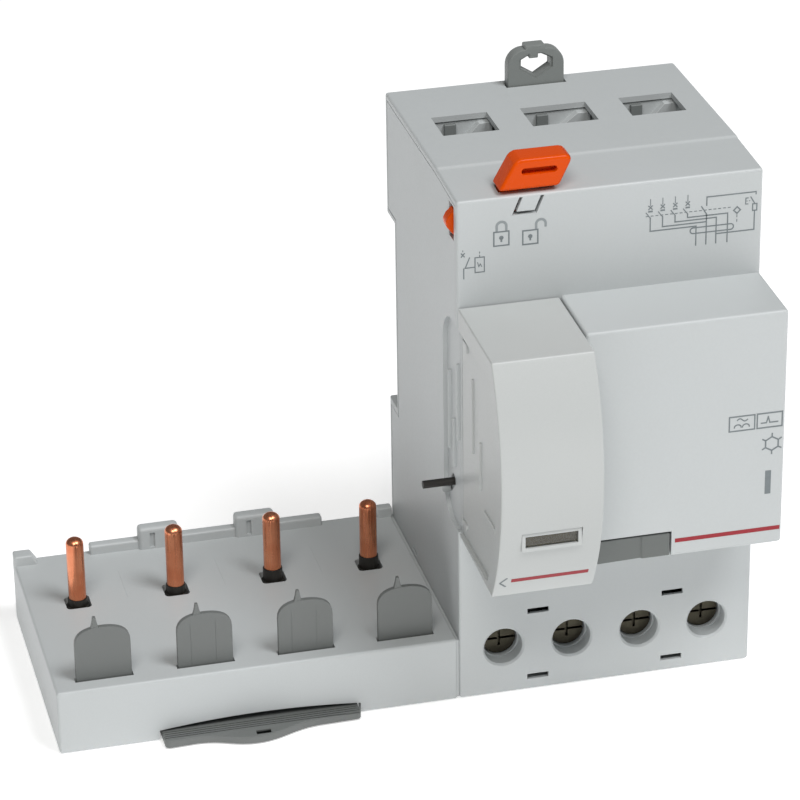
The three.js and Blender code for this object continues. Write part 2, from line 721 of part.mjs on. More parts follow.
function testButton() {
  const low = NOSE_LOW_Z + 0.3;
  const ridge = (BUTTON_X[0] + BUTTON_X[1]) / 2;
  const plan = outline([
    [BUTTON_X[0], NOSE_Y - 0.1],
    [ridge, NOSE_Y + 0.7],
    [BUTTON_X[1], NOSE_Y - 0.1],
    [BUTTON_X[1], -10.6],
    [BUTTON_X[0], -10.6],
  ]);
  const head = prismZ(plan, [low, 36.2]);
  const stem = bar('y', [BUTTON_CENTRE.x, BUTTON_CENTRE.z], 1.1, [-10.7, -1.4], 16);
  return join(head, stem);
}

function testButtonSpring() {
  const geometry = coil(1.5, 0.2, 6.6, 5);
  geometry.rotateX(-Math.PI / 2);
  geometry.translate(BUTTON_CENTRE.x, -10.1, BUTTON_CENTRE.z);
  return toSolid(geometry);
}

function testContact() {
  return join(
    block([95.6, 100.6], [0.6, 1.0], [33.4, 38.7]),
    block([98.6, 100.6], [-3.7, 0.7], [38.3, 38.7]),
  );
}

// ---- locking lever: thumb head on top, bar with a hook that enters the breaker ------
const LOCK_Y = [2.3, 4.8];

function lockingLever() {
  const head = prismY(
    outline([[78.5, 95.9], [89, 95.9], [91.2, 100.4], [90.4, 101.4], [82.2, 101.4], [81.2, 100.6]]),
    [0.1, 5.2],
  );
  const slot = block([82.4, 88.6], [-1, 1.6], [98.6, 99.7]);
  const stem = block([79.2, 82.6], LOCK_Y, [91, 96.2]);
  const hook = new THREE.Shape();
  hook.moveTo(82.6, 88);
  hook.lineTo(82.6, 92.6);
  hook.lineTo(71.4, 92.6);
  hook.quadraticCurveTo(69.3, 91, 70.2, 89.6);
  hook.lineTo(71.4, 88);
  return join(cut(head, slot), stem, prismY(hook, LOCK_Y, 8));
}

// ---- rail latch ---------------------------------------------------------------------
const LATCH_TOP_Z = 103.2;
const LATCH_LOW_Z = 69.6;

function railLatch() {
  const [x0, x1] = LATCH_X;
  const shape = new THREE.Shape();
  shape.moveTo(x0, LATCH_LOW_Z);
  shape.lineTo(x1, LATCH_LOW_Z);
  shape.lineTo(x1, LATCH_TOP_Z - 3.6);
  shape.absarc(x1 - 3.1, LATCH_TOP_Z - 3.6, 3.1, 0, Math.PI / 2);
  shape.lineTo(x1 - 3.3, LATCH_TOP_Z);
  shape.lineTo(x0 + 3.1, LATCH_TOP_Z);
  shape.lineTo(x0 + 3.1, LATCH_TOP_Z - 0.5);
  shape.absarc(x0 + 3.1, LATCH_TOP_Z - 3.6, 3.1, Math.PI / 2, Math.PI);
  const eye = outline([
    [97.9, 97.2],
    [100.6, 98.9],
    [100.6, 100.5],
    [98.9, 101.4],
    [96.9, 101.4],
    [95.2, 100.5],
    [95.2, 98.9],
  ]);
  const springWindow = block([96.1, 99.7], [40, 50], [79.4, 93.6]);
  const leadIn = prismX(outline([[LATCH_Y[1] - 1.2, 69], [49, 69], [49, 71.4]]), [90, 106]);
  return cut(prismY(shape, LATCH_Y, 6), prismY(eye, [40, 50]), springWindow, leadIn);
}

function railLatchSpring() {
  const geometry = coil(0.95, 0.22, 9.2, 5);
  geometry.translate(97.9, 47.1, 80.0);
  return toSolid(geometry);
}

// ---- insert under the top windows ---------------------------------------------------
function windowInsert() {
  const tub = cut(
    block([74.2, 121.6], [25.4, 37], [83.6, 93.1]),
    block([75.4, 87.2], [26.6, 35.8], [85, 94]),
    block([91.2, 104.8], [26.6, 35.8], [85, 94]),
    block([109.1, 120.4], [26.6, 35.8], [85, 94]),
  );
  const fittings = TOP_WINDOWS.flatMap(([x0, x1]) => {
    const split = x0 + (x1 - x0) * 0.36;
    return [
      block([split - 0.9, split + 0.9], [28.4, 36], [84.9, 91.8]),
      prismY(outline([[split + 1.8, 84.9], [x1 + 0.8, 84.9], [x1 + 0.8, 92.4]]), [26.5, 36]),
    ];
  });
  return join(tub, ...fittings);
}

// ---- all parts ----------------------------------------------------------------------
addPart('block_housing', blockHousing(), FINISH.housing);
addPart('side_cover', sideCover(), FINISH.housing);
addPart('tray_housing', trayHousing(), FINISH.housing);
addPart('tray_floor', trayFloor(), FINISH.housing);
addPart('indicator_hood', indicatorHood(), FINISH.hood);
addPart('window_lens', block([75.7, 84.8], [-26.0, -25.1], [43.3, 45.4]), FINISH.lens);
addPart('window_insert', windowInsert(), FINISH.housing);
addPart('locking_lever', lockingLever(), FINISH.orange);
addPart('rail_latch', railLatch(), FINISH.grip);
addPart('rail_latch_spring', railLatchSpring(), FINISH.spring);
addPart('screw_cover_carrier', screwCoverCarrier(), FINISH.grip);
addPart('test_button', testButton(), FINISH.grip);
addPart('test_button_spring', testButtonSpring(), FINISH.spring);
addPart('test_contact', testContact(), FINISH.copper);
addPart('test_resistor', testResistor(), FINISH.black);
addPart('circuit_board', circuitBoard(), FINISH.board);
addPart('board_components', boardComponents(), FINISH.black);
addPart('board_lead', boardLead(), FINISH.black);
addPart('relay_lead', relayLead(), FINISH.black);
addPart('transformer_core', coreRing(0, 0, 0), FINISH.core);
addPart('sense_winding', senseWinding(), FINISH.copper);
addPart('core_cradle', coreCradle(), FINISH.black);
addPart('trip_relay', tripRelay(), FINISH.steel);
addPart('relay_plunger', relayPlunger(), FINISH.steel);
addPart('trip_lever', tripLever(), FINISH.black);
addPart('lever_shaft', bar('x', [LEVER_PIVOT.y, LEVER_PIVOT.z], 1.2, [73.3, 88.2]), FINISH.steel);
addPart('mechanism_frame', mechanismFrame(), FINISH.steel);
addPart('trip_flag', tripFlag(), FINISH.flag);
addPart('terminal_carrier', terminalCarrier(), FINISH.black);

perPole((pole, tail) => {
  addPart(`load_conductor${tail}`, loadConductor(pole), FINISH.copper);
  addPart(`pin_sleeve${tail}`, pinSleeve(pole), FINISH.black);
  addPart(`terminal_screw${tail}`, terminalScrew(pole), FINISH.steel);
  addPart(`terminal_cage${tail}`, terminalCage(pole), FINISH.steel);
  addPart(`screw_cover_plate${tail}`, screwCoverPlate(pinX(pole)), FINISH.grip);
});

product.position.set(-BLOCK_CENTRE_X, -RAIL_SEAT_Y, -RAIL_CENTRE_Z);

export default product;
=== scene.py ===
import math

import bmesh
import bpy
from mathutils import Matrix, Vector
from mathutils.geometry import interpolate_bezier


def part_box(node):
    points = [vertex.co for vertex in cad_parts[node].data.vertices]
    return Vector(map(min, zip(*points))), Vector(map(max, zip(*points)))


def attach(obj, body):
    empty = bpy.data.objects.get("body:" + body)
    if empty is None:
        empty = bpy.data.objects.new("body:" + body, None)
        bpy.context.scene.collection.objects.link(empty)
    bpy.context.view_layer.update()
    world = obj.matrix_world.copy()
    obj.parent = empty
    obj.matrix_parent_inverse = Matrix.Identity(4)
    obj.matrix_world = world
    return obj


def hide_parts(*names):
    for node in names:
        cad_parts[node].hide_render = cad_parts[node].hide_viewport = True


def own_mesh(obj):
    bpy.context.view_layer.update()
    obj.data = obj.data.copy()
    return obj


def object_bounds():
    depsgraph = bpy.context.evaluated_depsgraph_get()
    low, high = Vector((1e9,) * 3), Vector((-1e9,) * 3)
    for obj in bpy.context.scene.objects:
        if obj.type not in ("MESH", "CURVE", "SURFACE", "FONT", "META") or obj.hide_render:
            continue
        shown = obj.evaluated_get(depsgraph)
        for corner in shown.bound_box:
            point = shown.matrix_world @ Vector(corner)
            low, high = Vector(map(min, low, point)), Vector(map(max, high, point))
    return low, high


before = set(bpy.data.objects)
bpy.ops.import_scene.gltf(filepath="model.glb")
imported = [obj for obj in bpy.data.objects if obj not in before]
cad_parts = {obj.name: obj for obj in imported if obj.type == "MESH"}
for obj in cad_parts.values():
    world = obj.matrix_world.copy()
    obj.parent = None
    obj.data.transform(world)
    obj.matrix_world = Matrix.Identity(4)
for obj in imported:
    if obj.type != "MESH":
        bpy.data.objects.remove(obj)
cad_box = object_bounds()


# ---- Case ---------------------------------------------------------------------------
# The tall housing that clips on the rail and holds the mechanism, with a cover that closes
# its left side. Both are injection moulded in glass-filled polyamide, light grey, with the
# small corner radius of the mould; lengths are in millimetres from the tray's low corner.
def linear(hex_colour):
    channels = [int(hex_colour[i:i + 2], 16) / 255 for i in (1, 3, 5)]
    curve = [c / 12.92 if c <= 0.04045 else ((c + 0.055) / 1.055) ** 2.4 for c in channels]
    return [*curve, 1.0]


def add_node(tree, kind, inputs=None, **settings):
    node = tree.nodes.new(kind)
    for name, value in settings.items():
        setattr(node, name, value)
    for socket, value in (inputs or {}).items():
        if isinstance(value, bpy.types.NodeSocket):
            tree.links.new(value, node.inputs[socket])
        else:
            node.inputs[socket].default_value = value
    return node


def blank_material(name):
    material = bpy.data.materials.new(name)
    material.use_nodes = True
    material.node_tree.nodes.clear()
    return material, material.node_tree


def use_shader(tree, settings):
    shader = add_node(tree, "ShaderNodeBsdfPrincipled", settings)
    add_node(tree, "ShaderNodeOutputMaterial", {"Surface": shader.outputs["BSDF"]})


FLOW_CLOUD_MM = 26
SINK_MM = 0.4


def moulded_plastic(
        name, colour, shade, roughness, grain_mm=0.4, relief_mm=0.008, fleck=0.012, specular=0.5):
    """A moulded thermoplastic: satin from the eroded mould, with faint clouds where it flowed.
    Real erosion grain is near a tenth of a millimetre; it is drawn coarser so that it shows."""
    material, tree = blank_material(name)
    spot = add_node(tree, "ShaderNodeTexCoord").outputs["Object"]
    clouds = add_node(tree, "ShaderNodeTexNoise", {
        "Vector": spot, "Scale": 1000 / FLOW_CLOUD_MM, "Detail": 3.0}).outputs["Fac"]
    grain = add_node(tree, "ShaderNodeTexNoise", {
        "Vector": spot, "Scale": 1000 / grain_mm, "Detail": 2.0}).outputs["Fac"]
    tone = add_node(tree, "ShaderNodeMix", {
        0: clouds, 6: linear(shade), 7: linear(colour)}, data_type="RGBA").outputs[2]
    speck = add_node(tree, "ShaderNodeMapRange", {
        "Value": grain, "From Min": 0.3, "From Max": 0.7,
        "To Min": 1 - fleck, "To Max": 1 + fleck}).outputs["Result"]
    skin_tone = add_node(tree, "ShaderNodeVectorMath", {
        0: tone, "Scale": speck}, operation="SCALE").outputs["Vector"]
    satin = add_node(tree, "ShaderNodeMapRange", {
        "Value": grain, "From Min": 0.3, "From Max": 0.7,
        "To Min": roughness - 0.06, "To Max": roughness + 0.08}).outputs["Result"]
    skin = add_node(tree, "ShaderNodeBump", {
        "Strength": 0.4, "Distance": relief_mm / 1000, "Height": grain}).outputs["Normal"]
    sink = add_node(tree, "ShaderNodeBump", {
        "Strength": 0.12, "Distance": SINK_MM / 1000, "Height": clouds,
        "Normal": skin}).outputs["Normal"]
    use_shader(tree, {"Base Color": skin_tone, "Roughness": satin, "Normal": sink,
                      "Specular IOR Level": specular})
    return material


corner_of_tray = Vector(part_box("tray_housing")[0])


def place(x, y, z):
    """A point in metres from millimetres right, back and up from the tray's low front corner."""
    return corner_of_tray + Vector((x, y, z)) / 1000


def link_piece(name, mesh):
    piece = bpy.data.objects.new(name, mesh)
    bpy.context.scene.collection.objects.link(piece)
    return piece


def piece_from(body, name):
    mesh = bpy.data.meshes.new(name)
    body.to_mesh(mesh)
    body.free()
    return link_piece(name, mesh)


def round_edges(body, radius_mm, segments, lowest_turn=25):
    sharp = [e for e in body.edges if math.degrees(e.calc_face_angle(0)) > lowest_turn]
    bmesh.ops.bevel(
        body, geom=sharp, offset=radius_mm / 1000, offset_type="OFFSET", segments=segments,
        profile=0.5, affect="EDGES", clamp_overlap=False)


def prism(outline, axis, span, radius_mm=0.0, segments=3):
    """A block with this outline in its two other axes, between two stations along axis."""
    def corner(u, v, station):
        return place(*{"x": (station, u, v), "y": (u, station, v), "z": (u, v, station)}[axis])
    body = bmesh.new()
    low = [body.verts.new(corner(u, v, span[0])) for u, v in outline]
    high = [body.verts.new(corner(u, v, span[1])) for u, v in outline]
    body.faces.new(low)
    body.faces.new(high)
    for i, start in enumerate(low):
        body.faces.new((start, low[i - 1], high[i - 1], high[i]))
    bmesh.ops.recalc_face_normals(body, faces=body.faces)
    if radius_mm:
        round_edges(body, radius_mm, segments)
    return piece_from(body, "blank")


def slab(x, y, z, radius_mm=0.0, segments=3):
    outline = [(x[0], z[0]), (x[1], z[0]), (x[1], z[1]), (x[0], z[1])]
    return prism(outline, "y", y, radius_mm, segments)


def cone(axis_x, axis_z, span, radii, sides=48):
    """A round plug along y, straight or flared."""
    body = bmesh.new()
    bmesh.ops.create_cone(
        body, cap_ends=True, segments=sides, radius1=radii[0] / 1000, radius2=radii[1] / 1000,
        depth=(span[1] - span[0]) / 1000)
    turn = Matrix.Rotation(-math.pi / 2, 4, "X")
    middle = Matrix.Translation(place(axis_x, sum(span) / 2, axis_z))
    bmesh.ops.transform(body, matrix=middle @ turn, verts=body.verts)
    return piece_from(body, "plug")


def drop(piece):
    mesh = piece.data
    bpy.data.objects.remove(piece)
    bpy.data.meshes.remove(mesh)


def combine(piece, others, operation):
    """Joins, cuts or trims a piece with others, which are used up."""
    for other in others:
        step = piece.modifiers.new(operation, "BOOLEAN")
        step.operation = operation
        step.solver = "MANIFOLD"
        step.object = other
    bpy.context.view_layer.update()
    ready = piece.evaluated_get(bpy.context.evaluated_depsgraph_get())
    mesh = bpy.data.meshes.new_from_object(ready)
    piece.modifiers.clear()
    worn = piece.data
    piece.data = mesh
    bpy.data.meshes.remove(worn)
    for other in others:
        drop(other)
    return piece


def solid_copy(node):
    """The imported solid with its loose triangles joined, ready for cutting."""
    body = bmesh.new()
    body.from_mesh(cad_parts[node].data)
    bmesh.ops.remove_doubles(body, verts=body.verts, dist=2e-6)
    return piece_from(body, "copy")


def shade(piece, sharp_turn=35):
    """Flat faces stay flat and rounds stay smooth."""
    body = bmesh.new()
    body.from_mesh(piece.data)
    bmesh.ops.remove_doubles(body, verts=body.verts, dist=1e-6)
    for face in body.faces:
        face.smooth = True
    for edge in body.edges:
        edge.smooth = math.degrees(edge.calc_face_angle(0)) < sharp_turn
    body.to_mesh(piece.data)
    body.free()
    flats = piece.modifiers.new("flat_faces", "WEIGHTED_NORMAL")
    flats.keep_sharp = True
    flats.weight = 80


def finish_piece(piece, name, material, body, *stands_for):
    """Names a piece, gives it its finish and lets it move with a body in place of its nodes."""
    piece.name = name
    piece.data.name = name
    shade(piece)
    piece.data.materials.clear()
    piece.data.materials.append(material)
    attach(piece, body)
    if stands_for:
        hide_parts(*stands_for)


# Glass-filled polyamide, mould-eroded: a dry satin that hides fingerprints.
light_grey_polyamide = moulded_plastic("light_grey_polyamide", "#BDC1C2", "#B8BCBC", 0.42)

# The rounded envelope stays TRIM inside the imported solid's faces and is cut with it, so the
# outer corners get their radius and every hole keeps its place.
TRIM = 0.015
CASE_RIGHT, CASE_BACK, CASE_TOP = 124.6 - TRIM, 49.5 - TRIM, 95.8 - TRIM
CASE_X = (71.2 + TRIM, CASE_RIGHT)
NOSE_X = (89.25 + TRIM, CASE_RIGHT)
SHOULDER_Y = TRIM
NOSE_Y = -15 + TRIM
RAIL_LOW, RAIL_HIGH, RAIL_DEPTH_Y = 37.32, 72.68, 44.02
SCREW_X = [79.25 + 12.45 * pole for pole in range(4)]
SCREW_Z = 9.3
VENT_X = (85.5, 110.1)
CORNER_MM, NOSE_CORNER_MM = 0.5, 0.6
body_outline = [
    (TRIM, TRIM), (CASE_BACK, TRIM), (CASE_BACK, RAIL_LOW), (RAIL_DEPTH_Y, RAIL_LOW),
    (RAIL_DEPTH_Y, RAIL_HIGH), (CASE_BACK, RAIL_HIGH), (CASE_BACK, CASE_TOP), (13.5, CASE_TOP),
    (13.25, 95.58), (TRIM, 95.1 - TRIM)]
nose_outline = [(NOSE_Y, 31.62), (4, 33.2), (4, 76.08), (NOSE_Y, 75.58)]
envelope = combine(
    prism(body_outline, "x", CASE_X, CORNER_MM),
    [prism(nose_outline, "x", NOSE_X, NOSE_CORNER_MM)], "UNION")
case = combine(solid_copy("block_housing"), [envelope], "INTERSECT")
mouths = [cone(x, SCREW_Z, (-0.2, 0.35), (4.05, 3.5)) for x in SCREW_X]
vents = [slab((x - 1.95, x + 1.95), (-1, 2.2), (z - 0.42, z + 0.42))
         for x in VENT_X for z in (2.6, 15.8)]
# The wall is thinner behind each slot, and the roof round the windows, as moulders core them.
cored_wall = [slab((x - 2.6, x + 2.6), (0.6, 2.2), (z - 1.3, z + 1.1))
              for x in VENT_X for z in (3.2, 15.8)]
cored_roof = slab((73.95, 121.85), (25.2, 37.2), (93.2, 94.75))
case = combine(case, [*mouths, *vents, *cored_wall, cored_roof], "DIFFERENCE")
finish_piece(case, "case", light_grey_polyamide, "block", "block_housing")

finish_piece(solid_copy("side_cover"), "left_cover", light_grey_polyamide, "block", "side_cover")

# Upright ribs in the shallow pocket of the left flank, which steer the breaker's side.
RIB_FOOT_X = 72.15
flank_ribs = [
    slab((71.5, RIB_FOOT_X), (1.9, 2.3), (50, 64.5), 0.12, 2),
    slab((71.5, RIB_FOOT_X), (4.6, 5.0), (43.5, 53), 0.12, 2),
    slab((71.4, RIB_FOOT_X), (7.2, 7.6), (46, 61), 0.12, 2),
]
for number, rib in enumerate(flank_ribs, 1):
    finish_piece(rib, f"flank_rib_{number}", light_grey_polyamide, "block")

# ---- Tray ---------------------------------------------------------------------------
# The low shelf that the breaker stands on: the same polyamide, one open-bottomed moulding
# closed by a floor that snaps in from below, with ribs between the conductors.
POLE_PITCH = 17.8
TRAY_BACK = 49.48
LUG_X = (23, 41)
shelf = slab((0.015, 70.885), (0.015, 49.485), (0.015, 12.085), 0.5)
back_rim = slab((14.01, 57.49), (47.41, TRAY_BACK), (10, 13.88), 0.45)
lugs = [slab((x + 0.01, x + 7.49), (46.81, TRAY_BACK), (9, 16.38), 0.7) for x in LUG_X]
right_post = slab((68.11, 70.88), (47.41, TRAY_BACK), (10, 13.98), 0.4)
left_post = prism([(0.02, 10), (4.39, 10), (4.39, 12.1), (3.19, 13.98), (0.02, 13.98)], "y",
                  (46.61, TRAY_BACK), 0.35)
envelope = combine(shelf, [back_rim, right_post, *lugs, left_post], "UNION")
tray = combine(solid_copy("tray_housing"), [envelope], "INTERSECT")
# Hairline seams between the poles, a web in each lug, and a strip that closes the gap
# between tray and case.
seams = [slab((POLE_PITCH * n - 0.06, POLE_PITCH * n + 0.06), (30, 40), (12.05, 13))
         for n in (1, 2, 3)]
tray = combine(tray, seams, "DIFFERENCE")
joint = slab((70.4, 71.17), (0.35, 49.1), (0.35, 11.75))
lug_webs = [slab((x + 2.0, x + 3.1), (47.25, 48.4), (12.2, 15.5)) for x in LUG_X]
tray = combine(tray, [joint, *lug_webs], "UNION")
finish_piece(tray, "tray", light_grey_polyamide, "block", "tray_housing")
finish_piece(solid_copy("tray_floor"), "tray_floor_plate", light_grey_polyamide, "block",
             "tray_floor")

# ---- Hood ---------------------------------------------------------------------------
# The bulged white cap over the trip indicator, one module wide: polycarbonate, moulded
# with a finer skin than the case, clipped on the front and set back on its left flank.
HOOD_CENTRE_Y, HOOD_CENTRE_Z, HOOD_RADIUS = 13.5, 53.7, 41.0
HOOD_X = (71.315, 88.935)
HOOD_ROOT_Y = 4
ARC_STEPS = 56


def on_hood(turn_deg, inset_mm=0.0):
    """The (y, z) of a point on the bulge, turned up from level and sunk below its skin."""
    turn = math.radians(turn_deg)
    reach = HOOD_RADIUS - inset_mm
    return HOOD_CENTRE_Y - reach * math.cos(turn), HOOD_CENTRE_Z + reach * math.sin(turn)


def hood_turn(height):
    """The turn at which the bulge reaches this height."""
    return math.degrees(math.asin((height - HOOD_CENTRE_Z) / HOOD_RADIUS))


white_polycarbonate = moulded_plastic(
    "white_polycarbonate", "#BABDBC", "#B5B8B7", 0.36, grain_mm=0.3, relief_mm=0.006)
low_turn, high_turn = hood_turn(31.93), hood_turn(75.47)
arc = [on_hood(low_turn + (high_turn - low_turn) * i / ARC_STEPS, 2 * TRIM)
       for i in range(ARC_STEPS + 1)]
envelope = prism([(HOOD_ROOT_Y, 32.83), *arc, (HOOD_ROOT_Y, 75.87)], "x", HOOD_X, 0.3)
hood = combine(solid_copy("indicator_hood"), [envelope], "INTERSECT")
# Locating pegs and bars that stand a little proud in the flank's recess: (y, z, radius).
PEG_X = (71.65, 72.2)
hood_pegs = [slab(PEG_X, y, z, radius, 2) for y, z, radius in (
    ((-4.2, -1.4), (69.2, 70.9), 0.2),
    ((-21.5, -14.5), (43.8, 45.0), 0.2),
    ((-7.5, -7.1), (52, 66), 0.12),
    ((-12.4, -12.0), (47.5, 56.5), 0.12),
    ((-3.4, -0.6), (35.2, 36.3), 0.2))]
hood = combine(hood, hood_pegs, "UNION")
finish_piece(hood, "hood", white_polycarbonate, "block", "indicator_hood")

# The window: clear acrylic in a bright welded rim, smoked by the dark room behind it.
acrylic, tree = blank_material("smoked_acrylic")
spot = add_node(tree, "ShaderNodeTexCoord").outputs["Object"]
SMEAR_MM = 3
smear = add_node(tree, "ShaderNodeTexNoise", {
    "Vector": spot, "Scale": 1000 / SMEAR_MM, "Detail": 3.0}).outputs["Fac"]
polish = add_node(tree, "ShaderNodeMapRange", {
    "Value": smear, "To Min": 0.06, "To Max": 0.2}).outputs["Result"]
use_shader(tree, {"Base Color": linear("#A9A698"), "Roughness": polish, "IOR": 1.49,
                  "Transmission Weight": 0.85})
lens = slab((75.7, 84.8), (-26.0, -25.1), (43.3, 45.4), 0.12, 2)
finish_piece(lens, "window", acrylic, "block", "window_lens")

rim = slab((75.05, 85.45), (-26.5, -26.05), (42.58, 46.12), 0.15, 2)
rim = combine(rim, [slab((75.7, 84.8), (-27, -25.5), (43.25, 45.45))], "DIFFERENCE")
finish_piece(rim, "window_rim", white_polycarbonate, "block")

# The flag behind the window: acetal, dyed through, so it has a waxy even yellow.
yellow_acetal = moulded_plastic("yellow_flag_acetal", "#C9A64A", "#B8953C", 0.4)
finish_piece(solid_copy("trip_flag"), "flag", yellow_acetal, "trip_flag", "trip_flag")

# ---- Printed marks ------------------------------------------------------------------
# Pad printing: a film of grey or red ink about a hundredth of a millimetre thick, drawn
# a little thicker here. Only plain signs: padlocks, a wiring scheme, frames and lines.
INK_MM, INK_ROOT_MM, INK_STEP_MM, PAD_TOUCH_MM = 0.03, 0.02, 0.0015, 0.8


def printing_ink(name, colour, worn):
    """Pad-printing ink: matt, with the thin and thick places of the pad's touch."""
    material, tree = blank_material(name)
    spot = add_node(tree, "ShaderNodeTexCoord").outputs["Object"]
    touch = add_node(tree, "ShaderNodeTexNoise", {
        "Vector": spot, "Scale": 1000 / PAD_TOUCH_MM, "Detail": 2.0}).outputs["Fac"]
    tone = add_node(tree, "ShaderNodeMix", {
        0: touch, 6: linear(colour), 7: linear(worn)}, data_type="RGBA").outputs[2]
    use_shader(tree, {"Base Color": tone, "Roughness": 0.55})
    return material


grey_ink = printing_ink("grey_ink", "#6A7173", "#788083")
pale_ink = printing_ink("pale_grey_ink", "#858C8E", "#929899")
red_ink = printing_ink("red_ink", "#8E1422", "#981E2A")


def stroke(body, a, b, width, front_y, lap=True):
    """One straight line of ink on an upright face, from a to b, each (x, z); where lines
    cross, each lies a hair above the one before."""
    run = Vector((b[0] - a[0], b[1] - a[1]))
    along = run.normalized()
    side = Vector((-along.y, along.x)) * width / 2
    start = Vector(a) - along * (width / 2 if lap else 0)
    end = Vector(b) + along * (width / 2 if lap else 0)
    rim = [start + side, start - side, end - side, end + side]
    lap_mm = INK_STEP_MM * (len(body.faces) // 6 % 8)
    ends = [[body.verts.new(place(p.x, y, p.y)) for p in rim]
            for y in (front_y - INK_MM - lap_mm, front_y + INK_ROOT_MM)]
    body.faces.new(ends[0])
    body.faces.new(reversed(ends[1]))
    for i in range(4):
        body.faces.new((ends[0][i - 1], ends[0][i], ends[1][i], ends[1][i - 1]))


def line(body, points, width, front_y, closed=False):
    stops = [*points, points[0]] if closed else points
    for a, b in zip(stops, stops[1:]):
        stroke(body, a, b, width, front_y)


def dashes(body, a, b, width, front_y, dash=0.5, space=0.35):
    run = Vector(b) - Vector(a)
    count = max(1, int(run.length / (dash + space)))
    for i in range(count):
        start = Vector(a) + run.normalized() * i * (dash + space)
        stroke(body, start, start + run.normalized() * dash, width, front_y, lap=False)


def bow(centre, radius, start_deg, end_deg, steps=12, squash=1.0):
    """Points along an arc, turning from start to end."""
    turns = [math.radians(start_deg + (end_deg - start_deg) * i / steps) for i in range(steps + 1)]
    return [(centre[0] + radius * math.cos(t), centre[1] + radius * squash * math.sin(t))
            for t in turns]


def frame_line(body, x, z, width, front_y):
    line(body, [(x[0], z[0]), (x[1], z[0]), (x[1], z[1]), (x[0], z[1])], width, front_y, True)


def print_on(name, draw, ink):
    body = bmesh.new()
    draw(body)
    bmesh.ops.recalc_face_normals(body, faces=body.faces)
    piece = piece_from(body, name)
    piece.data.materials.append(ink)
    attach(piece, "block")


# The shut and the open padlock: left and low edge of the body, the shackle's left leg, and
# how far its right leg stands open.
PADLOCKS = [(77.6, 86.4, 78.1, 0.0), (82.6, 86.1, 84.9, 0.5)]


def padlock_bodies(body):
    for left, low, _, _ in PADLOCKS:
        frame_line(body, (left, left + 2.6), (low, low + 2.5), 0.24, SHOULDER_Y)
        middle = (left + 1.3, low + 1.4)
        line(body, bow(middle, 0.2, 0, 360, 8), 0.3, SHOULDER_Y)
        stroke(body, (middle[0], middle[1] - 0.1), (middle[0], middle[1] - 0.6), 0.3, SHOULDER_Y)


def padlock_shackles(body):
    for _, low, left, gap in PADLOCKS:
        right, foot, crown = left + 1.65, low + 2.85, low + 3.45
        line(body, [(left, foot), (left, crown)], 0.42, SHOULDER_Y)
        line(body, bow((left + 0.825, crown), 0.825, 0, 180), 0.42, SHOULDER_Y)
        line(body, [(right, crown), (right, foot + gap * 0.4)], 0.42, SHOULDER_Y)


def wiring_scheme(body):
    """Four poles through a summing core, a test loop at the right, and a dashed linkage."""
    hair, thin, y = 0.14, 0.2, SHOULDER_Y
    poles = [104.8, 106.95, 109.15, 111.35]
    drops = [112.9, 114.7, 116.45, 118.45]
    levels = [85.9, 86.5, 87.1, 87.65]
    for x, drop_x, level in zip(poles, drops, levels):
        stroke(body, (x, 91.7), (x, 90.6), hair, y)
        line(body, [(x - 0.3, 90.5), (x + 0.3, 89.9)], thin, y)
        line(body, [(x - 0.3, 89.9), (x + 0.3, 90.5)], thin, y)
        stroke(body, (x - 0.25, 89.5), (x + 0.25, 89.5), 0.28, y)
        stroke(body, (x - 0.75, 89.3), (x, 88.3), 0.16, y)
        line(body, [(x, 88.3), (x, level), (drop_x, level), (drop_x, 82.4)], thin, y)
    dashes(body, (104.0, 88.65), (119.3, 88.65), hair, y)
    dashes(body, (120.1, 87.2), (120.1, 85.0), hair, y)
    line(body, bow((120.1, 88.0), 0.6, 0, 360, 4), 0.22, y)
    core = bow((119.0, 85.1), 0.52, -90, 90) + bow((112.4, 85.1), 0.52, 90, 270)
    line(body, core, thin, y, True)
    line(body, [(114.7, 89.5), (114.7, 91.0), (123.4, 91.0), (123.4, 90.6)], thin, y)
    line(body, [(113.8, 89.35), (114.7, 87.9), (114.7, 86.5)], thin, y)
    line(body, [(122.5, 90.1), (123.2, 88.9)], thin, y)
    frame_line(body, (122.85, 123.6), (87.6, 88.8), thin, y)
    line(body, [(123.2, 87.6), (123.2, 84.1), (116.45, 84.1)], thin, y)
    line(body, [(122.0, 90.0), (121.6, 90.0), (121.6, 88.9), (122.0, 88.9)], 0.16, y)
    dashes(body, (121.7, 89.45), (122.8, 89.45), 0.12, y, 0.25, 0.2)


def relay_sign(body):
    """A coil's frame with the contact that it opens."""
    hair, thin, y = 0.14, 0.18, SHOULDER_Y
    frame_line(body, (74.35, 75.95), (82.0, 84.7), thin, y)
    dashes(body, (75.15, 84.8), (75.15, 86.6), hair, y, 0.35, 0.25)
    line(body, [(73.4, 84.8), (72.65, 83.0), (74.3, 83.0)], thin, y)
    stroke(body, (72.4, 82.9), (72.4, 81.1), thin, y)
    line(body, [(72.0, 85.7), (72.5, 85.1)], 0.2, y)
    line(body, [(72.0, 85.1), (72.5, 85.7)], 0.2, y)
    dashes(body, (72.25, 86.0), (72.25, 86.7), hair, y, 0.3, 0.2)
    line(body, [(74.8, 83.8), (75.0, 83.0), (75.25, 83.5), (75.5, 83.0)], hair, y)


